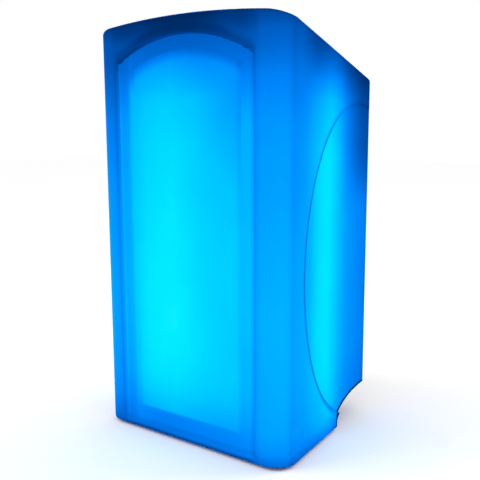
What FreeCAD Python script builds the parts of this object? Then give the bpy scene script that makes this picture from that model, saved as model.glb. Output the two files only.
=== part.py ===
import FreeCAD
import Part
import math
import os

# A light-up party speaker: a glowing rotationally moulded cabinet with an arched panel moulded in
# its front, a black driver baffle closing its back, and two wheels under its raised rear edge.
#
# Millimetres, +Z up, +Y towards the back. Every sub-part is drawn with the cabinet's front face at
# y = 0 and moved by save(), so that the finished object is centred on the origin.

V = FreeCAD.Vector
X_AXIS, Y_AXIS, Z_AXIS = V(1, 0, 0), V(0, 1, 0), V(0, 0, 1)

# ---- cabinet ----
WALL = 5.0                      # moulded wall
FLOOR = 4.0                     # underside of the cabinet above the ground
CABINET_DEPTH = 346.0           # front face to back face
REAR_HARDWARE = 20.0            # how far the grille and knobs stand out of the back face
DEPTH = CABINET_DEPTH + REAR_HARDWARE
FRONT_FLAT = 163.5              # half width of the flat front, before the rounded corner
CORNER = 36.5                   # radius of the front corners in plan
HALF_WIDTH = FRONT_FLAT + CORNER
TAPER = 10.9                    # degrees that each side closes towards the back
SHOULDER = 690.0                # height of the roof over the front corners
CROWN = 12.4                    # extra height of the vaulted roof on the centre line
ROOF_FALL = 0.24                # drop of the roof per millimetre towards the back
SOFT_EDGE = 8.0                 # rounding of the roof's edges
REAR_EDGE = 12.0                # rounding of the upright back edges
FOOT_EDGE = 4.0                 # rounding round the underside

# ---- raised rear edge ----
UNDERCUT_FROM, UNDERCUT_CREST = 212.0, 330.0     # the step up, and where the curved roof levels out
UNDERCUT_LOW, UNDERCUT_HIGH = 12.0, 53.0

# ---- arched front panel ----
PANEL_HALF, PANEL_FOOT = 146.0, 12.5
PANEL_SPRING, PANEL_TOP = 632.0, 670.5
PANEL_DEPTH = 8.0
PANEL_SOFT, FIELD_SOFT = 3.0, 3.5            # rounding of the panel's edge and of the field's
FIELD_BORDER = 28.0             # from the panel's edge to the bright inner field
FIELD_DEPTH, FIELD_BEVEL = 3.0, 6.0
FIELD_LIFT = 8.0                # the field's arch above one parallel to the panel's

# ---- oval scoop in each side ----
SCOOP_Y, SCOOP_Z = 287.0, 293.0
SCOOP_LENGTH, SCOOP_HEIGHT = 223.0, 276.0    # half axes
SCOOP_DEEP, SCOOP_SHALLOW = 6.0, 1.5         # at its front lip and at the cabinet's back edge

# ---- back opening and driver baffle ----
OPENING_HALF, OPENING_LOW, OPENING_HIGH, OPENING_CORNER = 112.0, 92.0, 592.0, 16.0
BAFFLE_HALF, BAFFLE_LOW, BAFFLE_HIGH, BAFFLE_CORNER = 126.0, 76.0, 608.0, 20.0
GASKET = 1.5
PLATE = 4.0
SEAT = CABINET_DEPTH + GASKET + PLATE    # outer face of the baffle
INSERT_R, INSERT_LONG, BOSS_WALL = 4.0, 12.0, 3.0
SCREW_R, SMALL_SCREW_R = 2.2, 1.6

# ---- drivers ----
WOOFER_Z, WOOFER_R = 331.0, 104.0
CONE_R, SURROUND_R, FLANGE_SEAT = 77.0, 92.5, 0.8   # cone edge, surround's lip, seat above the baffle
CONE_NECK, CONE_SKIN = 306.0, 1.5
CAP_R, CAP_RISE, CAP_SKIN = 30.0, 9.0, 0.8
FORMER_R, FORMER_SKIN = 19.2, 0.6
SPIDER_R, SPIDER_Y, SPIDER_WAVE, SPIDER_SKIN = 62.0, 292.5, 1.6, 0.7
MAGNET_R, MAGNET_Y, MAGNET_THICK = 60.0, 262.0, 18.0
TOP_PLATE_R, TOP_PLATE_THICK = 56.0, 6.0
POLE_PIECE_R, VENT_R, YOKE_THICK = 17.4, 5.0, 7.0
HORN_Z, HORN_WIDE, HORN_HIGH, HORN_FLANGE = 478.0, 128.0, 76.0, 3.0
HORN_THROAT_Y, HORN_BEND_Y = 318.0, 334.0
DRIVER_STEPS = ((34.0, 34.0, 22.0), (28.0, 12.0, 8.0), (20.0, 4.0, 4.0))   # radius, behind the throat, length
GRILLE_HALF, GRILLE_LOW, GRILLE_HIGH = 109.0, 221.0, 521.0
GRILLE_SHEET = 1.2

# ---- grab handle ----
CUP_HALF, CUP_LOW, CUP_HIGH, CUP_DEEP = 84.0, 532.0, 587.0, 48.0
CUP_WALL = 3.0
BAR_R = 8.0
BAR_Y, BAR_Z = SEAT - BAR_R - 1.5, CUP_HIGH - CUP_WALL - BAR_R - 1.5

# ---- control panel ----
PANEL_X, PANEL_LOW, PANEL_HIGH = 106.0, 90.0, 214.0
PANEL_SHEET = 2.0
DECK = SEAT + PANEL_SHEET                # outer face of the control panel
BOARD_Y, BOARD_THICK = 326.0, 1.6
BOARD_HALF, BOARD_LOW, BOARD_HIGH = 94.0, 104.0, 206.0
KNOB_SHAFT_R = 2.4
KNOBS = {"knob_master": (-76.0, 180.0, 15.0), "knob_microphone": (-32.0, 180.0, 10.0),
         "knob_echo": (0.0, 180.0, 10.0), "knob_tone": (32.0, 180.0, 10.0)}   # x, z and radius
BUTTONS = {"button_mode": -10.0, "button_previous": -30.0, "button_play": -50.0,
           "button_next": -70.0, "button_light": -90.0}
BUTTON_Z, BUTTON_R, BUTTON_TRAVEL = 140.0, 6.0, 1.2
SWITCH_X, SWITCH_Z = 78.0, 180.0
ROCKER_TILT, ROCKER_DROP = 8.0, 3.0      # resting angle; pivot below the control panel
DISPLAY_LEFT, DISPLAY_RIGHT, DISPLAY_LOW, DISPLAY_HIGH = 14.0, 62.0, 130.0, 150.0
SOCKET_Z = 108.0
JACK_X = (-76.0, -48.0)
JACK_R, AUX_R, CHARGE_R, CHARGE_PIN_R = 3.3, 1.8, 2.9, 1.0
AUX_X, USB_X, CHARGE_X = -22.0, 12.0, 78.0
SINK_LEFT, SINK_LOW, SINK_HIGH, FIN_PITCH, FIN_REACH = -70.0, 116.0, 196.0, 8.25, 28.0

# ---- wheels, feet and pole socket ----
WHEEL_X, WHEEL_Y, WHEEL_R, WHEEL_WIDE = 58.0, 300.0, 35.0, 24.0
AXLE_R = 4.0
WELL_HALF, WELL_TOP, WELL_FRONT, WELL_BACK = 16.0, 78.0, 258.0, 341.0
FOOT_X, FOOT_Y, FOOT_R, FOOT_HIGH = 148.0, 46.0, 15.0, 10.0
POLE_Y, POLE_R, POLE_LONG = 165.0, 17.75, 90.0
SOCKET_R, SOCKET_HALF, SOCKET_FLANGE = 21.0, 37.0, 4.0   # tube, half of the square flange, its thickness
SOCKET_SCREW = 28.0

# ---- light mast ----
MAST_X, MAST_Y, MAST_SIDE, MAST_LOW, MAST_HIGH = -18.0, 152.0, 24.0, 104.0, 620.0
LED_PITCH, LED_SIDE = 40.0, 5.0

# ---- battery, its cradle and the lamp controller ----
BATTERY_HALF, BATTERY_FRONT, BATTERY_BACK, BATTERY_LOW, BATTERY_HIGH = 75.5, 222.0, 286.0, 102.0, 196.0
CRADLE_SHEET, CRADLE_LOW, CRADLE_HALF, CRADLE_SIDE = 1.8, 98.0, 102.0, 77.5
CONTROLLER_HALF, CONTROLLER_LOW, CONTROLLER_HIGH, CONTROLLER_DEEP = 30.0, 106.0, 148.0, 18.0


# ---------------------------------------------------------------- helpers
def box(x0, x1, y0, y1, z0, z1):
    return Part.makeBox(x1 - x0, y1 - y0, z1 - z0, V(x0, y0, z0))


def edge_middle(edge):
    return edge.valueAt((edge.FirstParameter + edge.LastParameter) / 2)


def rod(radius, start, length, axis=Y_AXIS):
    return Part.makeCylinder(radius, length, V(*start), axis)


def ring(outer, inner, start, length, axis=Y_AXIS):
    return rod(outer, start, length, axis).cut(rod(inner, start, length, axis))


def fused(shapes):
    first, *rest = shapes
    return first.multiFuse(rest).removeSplitter() if rest else first


def group(shapes):
    return Part.makeCompound(shapes)


def polygon(points):
    return Part.Face(Part.makePolygon([V(*p) for p in points + points[:1]]))


def turned(profile, centre, axis=Y_AXIS):
    """Revolves (radius, distance along the axis) points about a line through centre, parallel to Y."""
    x, z = centre
    face = polygon([(x + r, y, z) for r, y in profile])
    return face.revolve(V(x, 0, z), axis, 360)


def rounded_slab(half, low, high, y0, y1, radius):
    """A plate facing +Y, with four upright corner edges rounded."""
    slab = box(-half, half, y0, y1, low, high)
    corners = [e for e in slab.Edges if abs(e.Vertexes[0].Y - e.Vertexes[1].Y) > 0.5]
    return slab.makeFillet(radius, corners)


def tube(points, radius):
    """A lead along straight runs joined by tangent arcs, as large as the runs allow."""
    pts = [V(*p) for p in points]
    edges, start = [], pts[0]
    for before, corner, after in zip(pts, pts[1:], pts[2:]):
        back, ahead = (before - corner), (after - corner)
        run = min(back.Length, ahead.Length)
        back.normalize()
        ahead.normalize()
        half_turn = (math.pi - back.getAngle(ahead)) / 2
        reach = 0.45 * run
        bend = reach / math.tan(half_turn)
        a, b = corner + back * reach, corner + ahead * reach
        bisector = back + ahead
        bisector.normalize()
        middle = corner + bisector * (bend / math.cos(half_turn) - bend)
        edges.append(Part.LineSegment(start, a).toShape())
        edges.append(Part.Arc(a, middle, b).toShape())
        start = b
    edges.append(Part.LineSegment(start, pts[-1]).toShape())
    path = Part.Wire(edges)
    section = Part.Wire(Part.makeCircle(radius, pts[0], pts[1] - pts[0]))
    return path.makePipeShell([section], True, False)


def mirrored(shape):
    return shape.mirror(V(0, 0, 0), X_AXIS)


def pan_screw(x, y_face, z, length, radius=SCREW_R):
    """A pan-head screw driven along -Y, its head seated on y_face."""
    head = rod(1.9 * radius, (x, y_face, z), 2.2)
    head = head.makeFillet(1.2, [e for e in head.Edges if edge_middle(e).y > y_face + 2])
    recess = fused([box(x - 1.4, x + 1.4, y_face + 1, y_face + 3, z - 0.4, z + 0.4),
                    box(x - 0.4, x + 0.4, y_face + 1, y_face + 3, z - 1.4, z + 1.4)])
    return head.cut(recess).fuse(rod(radius, (x, y_face - length, z), length))


def save(name, shape):
    moved = shape.copy()
    moved.translate(V(0, -DEPTH / 2, 0))
    moved.exportStep("parts/" + name + ".step")


# ---------------------------------------------------------------- cabinet
def side_x(y, inset=0.0):
    """Half width of the cabinet behind its front corner."""
    slope = math.radians(TAPER)
    return HALF_WIDTH - inset / math.cos(slope) - (y - CORNER) * math.tan(slope)


def plan_face(inset, z):
    front, back, radius = inset, CABINET_DEPTH - inset, CORNER - inset
    middle = (FRONT_FLAT + radius * math.sin(math.pi / 4), CORNER - radius * math.cos(math.pi / 4))
    flat_end, side_start = (FRONT_FLAT, front), (side_x(CORNER, inset), CORNER)
    back_end = (side_x(back, inset), back)

    def at(point, sign=1):
        return V(sign * point[0], point[1], z)
    edges = [
        Part.LineSegment(at(flat_end, -1), at(flat_end)).toShape(),
        Part.Arc(at(flat_end), at(middle), at(side_start)).toShape(),
        Part.LineSegment(at(side_start), at(back_end)).toShape(),
        Part.LineSegment(at(back_end), at(back_end, -1)).toShape(),
        Part.LineSegment(at(back_end, -1), at(side_start, -1)).toShape(),
        Part.Arc(at(side_start, -1), at(middle, -1), at(flat_end, -1)).toShape(),
    ]
    return Part.Face(Part.Wire(edges))


def roof_z(x, y, inset=0.0):
    return SHOULDER + CROWN * (1 - (x / HALF_WIDTH) ** 2) - ROOF_FALL * y - inset * 1.026


def under_roof(inset):
    """Everything below the vaulted roof that falls towards the back."""
    y0, run, reach = -20.0, 420.0, 230.0
    left, top, right = (V(x, y0, roof_z(x, y0, inset)) for x in (-reach, 0, reach))
    edges = [Part.Arc(left, top, right).toShape(),
             Part.makeLine(right, V(reach, y0, -50)),
             Part.makeLine(V(reach, y0, -50), V(-reach, y0, -50)),
             Part.makeLine(V(-reach, y0, -50), left)]
    return Part.Face(Part.Wire(edges)).extrude(V(0, run, -ROOF_FALL * run))


def undercut(inset):
    """The air under the raised rear edge: a quarter oval from the step up to a level roof."""
    start, top, end = UNDERCUT_FROM - inset, UNDERCUT_HIGH + inset, CABINET_DEPTH + 20
    centre, crest = V(-250, UNDERCUT_CREST, UNDERCUT_LOW), V(-250, UNDERCUT_CREST, top)
    step = V(-250, start, UNDERCUT_LOW)
    oval = Part.Ellipse(step, crest, centre)
    corners = [V(-250, end, top), V(-250, end, -20), V(-250, start, -20)]
    edges = [Part.ArcOfEllipse(oval, 0, math.pi / 2).toShape(),
             Part.makeLine(crest, corners[0]),
             Part.makeLine(corners[0], corners[1]),
             Part.makeLine(corners[1], corners[2]),
             Part.makeLine(corners[2], step)]
    return Part.Face(Part.Wire(edges)).extrude(V(500, 0, 0))


def arch_wire(border, y, lift=0.0):
    """The arched outline, moved in from the panel's edge by border, its arch raised by lift."""
    half, foot = PANEL_HALF - border, PANEL_FOOT + border
    rise = PANEL_TOP - PANEL_SPRING
    radius = (PANEL_HALF ** 2 + rise ** 2) / (2 * rise)
    centre, radius = PANEL_TOP - radius + lift, radius - border
    spring = centre + math.sqrt(radius ** 2 - half ** 2)
    corners = [V(-half, y, foot), V(half, y, foot), V(half, y, spring), V(-half, y, spring)]
    return Part.Wire([
        Part.makeLine(corners[0], corners[1]),
        Part.makeLine(corners[1], corners[2]),
        Part.Arc(corners[2], V(0, y, centre + radius), corners[3]).toShape(),
        Part.makeLine(corners[3], corners[0])])


def front_panel_cut(grow):
    """The air in front of the arched panel; grow moves its surface into the cabinet by the wall."""
    flat = Part.Face(arch_wire(-grow, -2)).extrude(V(0, PANEL_DEPTH + grow + 2, 0))
    bevel_start = PANEL_DEPTH + grow
    rings = [arch_wire(FIELD_BORDER - grow, bevel_start - 0.001, FIELD_LIFT),
             arch_wire(FIELD_BORDER + FIELD_BEVEL - grow, bevel_start + FIELD_DEPTH, FIELD_LIFT)]
    field = Part.makeLoft(rings, True, True)
    return flat.fuse(field)


def scoop_cut(grow):
    """The air in the oval scoop of the right-hand side, square to that side, shallower at the back."""
    slope = math.radians(TAPER)
    along, out = V(-math.sin(slope), math.cos(slope), 0), V(math.cos(slope), math.sin(slope), 0)
    centre = V(side_x(SCOOP_Y), SCOOP_Y, SCOOP_Z)
    length, height = SCOOP_LENGTH + grow, SCOOP_HEIGHT + grow
    oval = Part.Ellipse(centre + Z_AXIS * height, centre + along * length, centre)
    prism = Part.Face(Part.Wire(oval.toShape())).extrude(out * 60)
    prism.translate(out * -30)
    deep = centre - along * SCOOP_LENGTH - out * (SCOOP_DEEP + grow)
    back_edge = V(side_x(CABINET_DEPTH), CABINET_DEPTH, SCOOP_Z)
    shallow = back_edge - out * (SCOOP_SHALLOW + grow)
    direction = shallow - deep
    direction.normalize()
    a, b = deep - direction * 60, shallow + direction * 60
    floor = polygon([(p.x, p.y, -80) for p in (a, b, b + out * 120, a + out * 120)])
    return prism.common(floor.extrude(V(0, 0, 800)))


def wheel_well(grow):
    return box(WHEEL_X - WELL_HALF - grow, WHEEL_X + WELL_HALF + grow, WELL_FRONT - grow, WELL_BACK + grow,
               -10, WELL_TOP + grow)


def rounded(shape, radius, chosen):
    return shape.makeFillet(radius, [e for e in shape.Edges if chosen(e)])


def cabinet_block():
    """The cabinet's outside before its panel, scoops and wells are cut."""
    block = plan_face(0, FLOOR).extrude(V(0, 0, 760)).common(under_roof(0))
    block = rounded(block, REAR_EDGE, lambda e: is_upright(e) and edge_middle(e).y > CABINET_DEPTH - 1)
    block = block.cut(undercut(0))
    block = rounded(block, SOFT_EDGE, on_roof)
    return rounded(block, FOOT_EDGE, lambda e: abs(edge_middle(e).z - FLOOR) < 0.1)


def is_upright(edge):
    return abs(edge.tangentAt(edge.FirstParameter).z) > 0.9


def on_roof(edge):
    m = edge_middle(edge)
    return abs(m.z - roof_z(m.x, m.y)) < 0.6


def on_panel_edge(edge):
    m = edge_middle(edge)
    return abs(m.y) < 0.05 and abs(m.x) < PANEL_HALF + 1 and PANEL_FOOT - 1 < m.z < PANEL_TOP + 1


def on_field_edge(edge):
    m = edge_middle(edge)
    inside = abs(m.x) < PANEL_HALF - FIELD_BORDER + 1 and m.z > PANEL_FOOT + FIELD_BORDER - 1
    return inside and abs(m.y - PANEL_DEPTH) < 0.05


def hollow():
    """The inside of the cabinet."""
    room = plan_face(WALL, FLOOR + WALL).extrude(V(0, 0, 760)).common(under_roof(WALL))
    room = room.cut(undercut(WALL)).cut(front_panel_cut(WALL))
    foot_boss = rod(FOOT_R + WALL, (FOOT_X, FOOT_Y, 0), FOOT_HIGH + INSERT_LONG + WALL, Z_AXIS)
    for solid in (scoop_cut(WALL), wheel_well(WALL), foot_boss):
        room = room.cut(solid).cut(mirrored(solid))
    room = room.cut(upright_block(SOCKET_HALF + WALL, 9, 0, FLOOR + SOCKET_FLANGE + 8))
    for x, z in baffle_holes():
        room = room.cut(rod(INSERT_R + BOSS_WALL, (x, CABINET_DEPTH - INSERT_LONG - WALL, z), 20))
    for x, y in well_screws():
        room = room.cut(rod(INSERT_R + BOSS_WALL, (x, y, WELL_TOP), INSERT_LONG + BOSS_WALL, Z_AXIS))
    return room


def upright_block(half, radius, low, high):
    """A square block over the pole socket's axis, its four upright edges rounded."""
    block = box(-half, half, POLE_Y - half, POLE_Y + half, low, high)
    return block.makeFillet(radius, [e for e in block.Edges if is_upright(e)])


def baffle_holes():
    """Places (x, z) of the baffle's screws, round the back opening."""
    x, low, high = OPENING_HALF + 7, BAFFLE_LOW + 8, BAFFLE_HIGH - 8
    heights = [low + 16 + i * (high - low - 32) / 4 for i in range(5)]
    sides = [(s * x, z) for s in (-1, 1) for z in heights]
    return sides + [(s * 100, z) for s in (-1, 1) for z in (low, high)]


def well_screws():
    return [(s * WHEEL_X, y) for s in (-1, 1) for y in (WHEEL_Y - 28, WHEEL_Y + 28)]


def pole_screws():
    return [(sx * SOCKET_SCREW, POLE_Y + sy * SOCKET_SCREW) for sx in (-1, 1) for sy in (-1, 1)]


def shell():
    body = cabinet_block().cut(front_panel_cut(0))
    body = rounded(body, PANEL_SOFT, on_panel_edge)
    body = rounded(body, FIELD_SOFT, on_field_edge)
    for air in (scoop_cut(0), wheel_well(0)):
        body = body.cut(air).cut(mirrored(air))
    body = body.cut(hollow())
    back = (CABINET_DEPTH - 30, CABINET_DEPTH + 5)
    body = body.cut(rounded_slab(OPENING_HALF, OPENING_LOW, OPENING_HIGH, *back, OPENING_CORNER))
    body = body.cut(upright_block(SOCKET_HALF + 0.3, 8.3, 0, FLOOR + SOCKET_FLANGE + 0.2))
    body = body.cut(upright_block(SOCKET_R + 0.5, 6, 0, 60))
    for x in (-FOOT_X, FOOT_X):
        body = body.cut(rod(FOOT_R + 0.2, (x, FOOT_Y, FLOOR - 5), 5 + FOOT_HIGH - FLOOR, Z_AXIS))
        body = body.cut(rod(INSERT_R, (x, FOOT_Y, FOOT_HIGH - 1), INSERT_LONG + 3, Z_AXIS))
    for x, z in baffle_holes():
        body = body.cut(rod(INSERT_R, (x, CABINET_DEPTH - INSERT_LONG - 2, z), 20))
    for x, y in well_screws():
        body = body.cut(rod(INSERT_R, (x, y, WELL_TOP - 1), INSERT_LONG, Z_AXIS))
    for x, y in pole_screws():
        body = body.cut(rod(SCREW_R, (x, y, 0), FLOOR + 10, Z_AXIS))
    return body


def shell_inserts():
    """Brass inserts moulded into the cabinet."""
    bore = SCREW_R + 0.1
    made = [ring(INSERT_R, bore, (x, CABINET_DEPTH - INSERT_LONG, z), INSERT_LONG) for x, z in baffle_holes()]
    for x in (-FOOT_X, FOOT_X):
        made.append(ring(INSERT_R, bore, (x, FOOT_Y, FOOT_HIGH), INSERT_LONG, Z_AXIS))
    for x, y in well_screws():
        made.append(ring(INSERT_R, bore, (x, y, WELL_TOP), INSERT_LONG - 2, Z_AXIS))
    return group(made)


# ---------------------------------------------------------------- underside
def front_feet():
    made = []
    for x in (-FOOT_X, FOOT_X):
        foot = Part.makeCone(FOOT_R - 2, FOOT_R, FLOOR, V(x, FOOT_Y, 0)).fuse(
            rod(FOOT_R, (x, FOOT_Y, FLOOR), FOOT_HIGH - FLOOR, Z_AXIS))
        foot = foot.cut(rod(5.5, (x, FOOT_Y, 0), 3.5, Z_AXIS))
        made.append(foot.cut(rod(SCREW_R + 0.3, (x, FOOT_Y, 0), 20, Z_AXIS)))
    return group(made)


def up_screw(x, y, z_head, head_r, length):
    """A screw driven upwards, its head's underside at z_head."""
    shank = rod(SCREW_R, (x, y, z_head), length, Z_AXIS)
    head = rod(head_r, (x, y, z_head - 2), 2, Z_AXIS)
    return head.fuse(shank).cut(box(x - 0.5, x + 0.5, y - 2.5, y + 2.5, z_head - 3, z_head - 1.2))


def base_screws():
    feet = [up_screw(x, FOOT_Y, 3.5, 4.6, 18) for x in (-FOOT_X, FOOT_X)]
    pole = [up_screw(x, y, FLOOR + 2.2, 3.8, 7) for x, y in pole_screws()]
    wells = [up_screw(x, y, WELL_TOP - 2, 4.0, 11) for x, y in well_screws()]
    return group(feet + pole + wells)


def pole_socket():
    """Socket for a 35 mm speaker pole, let into the underside."""
    flange = upright_block(SOCKET_HALF, 8, FLOOR, FLOOR + SOCKET_FLANGE)
    cup = rod(SOCKET_R, (0, POLE_Y, FLOOR), POLE_LONG + 4, Z_AXIS)
    bore = rod(POLE_R, (0, POLE_Y, FLOOR - 1), POLE_LONG + 1, Z_AXIS)
    table = rod(30, (0, POLE_Y, FLOOR + POLE_LONG + 1), 3, Z_AXIS)
    body = fused([flange, cup, table]).cut(bore)
    for x, y in pole_screws():
        body = body.cut(rod(SCREW_R + 0.2, (x, y, 0), 12, Z_AXIS))
        body = body.cut(rod(4.1, (x, y, 0), FLOOR + 2.2, Z_AXIS))
    return body


def wheel_brackets():
    made = []
    for side in (-1, 1):
        x = side * WHEEL_X
        outer = box(x - 15, x + 15, WHEEL_Y - 36, WHEEL_Y + 36, 22, WELL_TOP)
        cheeks = fused([rod(14, (x - 20, WHEEL_Y, WHEEL_R), 40, X_AXIS),
                        polygon([(x - 20, WHEEL_Y - 13, WHEEL_R - 2), (x - 20, WHEEL_Y + 13, WHEEL_R - 2),
                                 (x - 20, WHEEL_Y + 36, WELL_TOP), (x - 20, WHEEL_Y - 36, WELL_TOP)]
                                ).extrude(V(40, 0, 0))])
        form = outer.common(cheeks).cut(box(x - 13, x + 13, WHEEL_Y - 40, WHEEL_Y + 40, 10, WELL_TOP - 2))
        form = form.cut(rod(AXLE_R, (x - 20, WHEEL_Y, WHEEL_R), 40, X_AXIS))
        for sx, sy in well_screws():
            form = form.cut(rod(SCREW_R + 0.2, (sx, sy, WELL_TOP - 5), 10, Z_AXIS))
        made.append(form)
    return group(made)


def wheel_axles():
    return group([rod(AXLE_R, (s * WHEEL_X - 15, WHEEL_Y, WHEEL_R), 30, X_AXIS) for s in (-1, 1)])


def wheel_hub(side):
    x = side * WHEEL_X
    rim = ring(WHEEL_R - 7, WHEEL_R - 10, (x - 11, WHEEL_Y, WHEEL_R), 22, X_AXIS)
    hub = rod(9, (x - 12, WHEEL_Y, WHEEL_R), 24, X_AXIS)
    web = rod(WHEEL_R - 9, (x - 2, WHEEL_Y, WHEEL_R), 4, X_AXIS)
    spokes = []
    for k in range(6):
        spoke = box(x - 9, x + 9, WHEEL_Y - 1.5, WHEEL_Y + 1.5, WHEEL_R + 6, 2 * WHEEL_R - 9)
        spoke.rotate(V(x, WHEEL_Y, WHEEL_R), X_AXIS, 60 * k)
        spokes.append(spoke)
    return fused([rim, hub, web] + spokes).cut(rod(AXLE_R + 0.05, (x - 20, WHEEL_Y, WHEEL_R), 40, X_AXIS))


def tyre(side):
    x = side * WHEEL_X
    body = ring(WHEEL_R, WHEEL_R - 7, (x - WHEEL_WIDE / 2, WHEEL_Y, WHEEL_R), WHEEL_WIDE, X_AXIS)
    outer = [e for e in body.Edges if e.Length > 2 * math.pi * (WHEEL_R - 1) - 0.1]
    return body.makeFillet(4, outer)


# ---------------------------------------------------------------- baffle
def baffle():
    y0 = CABINET_DEPTH + GASKET
    plate = rounded_slab(BAFFLE_HALF, BAFFLE_LOW, BAFFLE_HIGH, y0, SEAT, BAFFLE_CORNER)
    rim = rounded_slab(OPENING_HALF - 1, OPENING_LOW + 1, OPENING_HIGH - 1, y0 - 16, y0, 15)
    rim = rim.cut(rounded_slab(OPENING_HALF - 4, OPENING_LOW + 4, OPENING_HIGH - 4, y0 - 17, y0 + 1, 12))
    body = plate.fuse(rim)
    body = body.cut(rod(WOOFER_R - 12, (0, y0, WOOFER_Z), 80))
    body = body.cut(box(-HORN_WIDE / 2 + 8, HORN_WIDE / 2 - 8, y0, 380, HORN_Z - HORN_HIGH / 2 + 6,
                        HORN_Z + HORN_HIGH / 2 - 6))
    body = body.cut(box(-CUP_HALF - 0.5, CUP_HALF + 0.5, y0, 380, CUP_LOW - 0.5, CUP_HIGH + 0.5))
    body = body.cut(box(-PANEL_X + 8, PANEL_X - 8, y0 - 1, 380, PANEL_LOW + 9, PANEL_HIGH - 8))
    driver_places = [(x, z, SCREW_R) for x, z in woofer_holes() + horn_holes()]
    trim_places = [(x, z, SMALL_SCREW_R) for x, z in grille_holes() + handle_holes() + panel_screw_places()]
    for x, z, r in driver_places + trim_places:
        body = body.cut(rod(r, (x, y0, z), 10))
    for x, z in baffle_holes():
        body = body.cut(rod(SCREW_R + 0.2, (x, y0 - 1, z), 10))
    return body


def baffle_gasket():
    y0 = CABINET_DEPTH
    band = rounded_slab(BAFFLE_HALF, BAFFLE_LOW, BAFFLE_HIGH, y0, y0 + GASKET, BAFFLE_CORNER)
    band = band.cut(rounded_slab(OPENING_HALF, OPENING_LOW, OPENING_HIGH, y0 - 1, y0 + 5, OPENING_CORNER))
    for x, z in baffle_holes():
        band = band.cut(rod(SCREW_R + 0.2, (x, CABINET_DEPTH - 1, z), 10))
    return band


def baffle_screws():
    return group([pan_screw(x, SEAT, z, 13) for x, z in baffle_holes()])


def grille_holes():
    """Four corner screws and two in the waist between woofer and horn."""
    inset = 8
    heights = (GRILLE_LOW + inset, WOOFER_Z + 62, GRILLE_HIGH - inset)
    return [(s * (GRILLE_HALF - inset), z) for s in (-1, 1) for z in heights]


def grille():
    """A pressed steel dish; its perforations are a surface pattern."""
    dish = rounded_slab(GRILLE_HALF, GRILLE_LOW, GRILLE_HIGH, SEAT, DEPTH, 16)
    front = [e for e in dish.Edges if abs(edge_middle(e).y - DEPTH) < 0.01]
    dish = dish.makeFillet(7, front)
    t = GRILLE_SHEET
    inside = rounded_slab(GRILLE_HALF - t, GRILLE_LOW + t, GRILLE_HIGH - t, SEAT, DEPTH - t, 16 - t)
    front = [e for e in inside.Edges if abs(edge_middle(e).y - DEPTH + t) < 0.01]
    dish = dish.cut(inside.makeFillet(7 - t, front))
    for x, z in grille_holes():
        dish = dish.fuse(rod(5, (x, SEAT, z), DEPTH - SEAT - t))
        dish = dish.cut(rod(SMALL_SCREW_R + 0.1, (x, SEAT, z), 30))
        dish = dish.cut(rod(3.3, (x, DEPTH - 2.4, z), 5))
    return dish


def grille_screws():
    return group([pan_screw(x, DEPTH - 2.4, z, DEPTH - SEAT, SMALL_SCREW_R) for x, z in grille_holes()])


# ---------------------------------------------------------------- woofer
def woofer_holes():
    r = WOOFER_R - 5.5
    angles = [math.pi / 8 + k * math.pi / 4 for k in range(8)]
    return [(r * math.cos(a), WOOFER_Z + r * math.sin(a)) for a in angles]


def woofer_basket():
    """Pressed frame: flange on the baffle, six-armed bowl, and the plate that the magnet hangs on."""
    y, seat = SEAT, SEAT + FLANGE_SEAT
    profile = [(90.5, y - 3), (90.5, y), (WOOFER_R, y), (WOOFER_R, y + 3), (SURROUND_R + 0.5, y + 3),
               (SURROUND_R + 0.5, seat), (88, seat), (86.5, y - 3), (SPIDER_R + 0.2, 292),
               (SPIDER_R - 2, 289), (30, 289), (30, 286), (62, 286), (66, 290), (90, y - 4)]
    body = turned(profile, (0, WOOFER_Z))
    arm_gap = polygon([(-18, 270, 56), (18, 270, 56), (30, 270, 84), (-30, 270, 84)]).extrude(V(0, 70, 0))
    window = arm_gap.common(ring(84, 64, (0, 270, 0), 70))
    for k in range(6):
        cut = window.copy()
        cut.rotate(V(0, 0, 0), Y_AXIS, 60 * k)
        cut.translate(V(0, 0, WOOFER_Z))
        body = body.cut(cut)
    for x, z in woofer_holes():
        body = body.cut(rod(SCREW_R + 0.1, (x, y - 2, z), 10))
    return body


def woofer_top_plate():
    return ring(TOP_PLATE_R, FORMER_R + 1.4, (0, MAGNET_Y + MAGNET_THICK, WOOFER_Z), TOP_PLATE_THICK)


def woofer_magnet():
    return ring(MAGNET_R, FORMER_R + 4.8, (0, MAGNET_Y, WOOFER_Z), MAGNET_THICK)


def woofer_pole_piece():
    yoke = rod(TOP_PLATE_R, (0, MAGNET_Y - YOKE_THICK, WOOFER_Z), YOKE_THICK)
    centre = rod(POLE_PIECE_R, (0, MAGNET_Y, WOOFER_Z), MAGNET_THICK + TOP_PLATE_THICK + 1)
    return yoke.fuse(centre).cut(rod(VENT_R, (0, MAGNET_Y - 12, WOOFER_Z), 60))


def voice_coil():
    """The winding on its former, hanging in the magnet's gap."""
    former = ring(FORMER_R, FORMER_R - FORMER_SKIN, (0, MAGNET_Y + 6, WOOFER_Z), 40)
    return former.fuse(ring(FORMER_R + FORMER_SKIN, FORMER_R - 0.2, (0, MAGNET_Y + 12, WOOFER_Z), 14))


def cone_height(r):
    """Front surface of the straight-sided cone at radius r."""
    neck, edge = CONE_NECK + CONE_SKIN, SEAT + FLANGE_SEAT
    return neck + (r - FORMER_R) * (edge - neck) / (CONE_R - 4 - FORMER_R)


def woofer_cone():
    rim = SEAT + FLANGE_SEAT
    return turned([(FORMER_R, CONE_NECK), (CONE_R - 4, rim - CONE_SKIN), (CONE_R, rim - 0.8), (CONE_R, rim),
                   (CONE_R - 4, rim), (FORMER_R, CONE_NECK + CONE_SKIN)], (0, WOOFER_Z))


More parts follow.
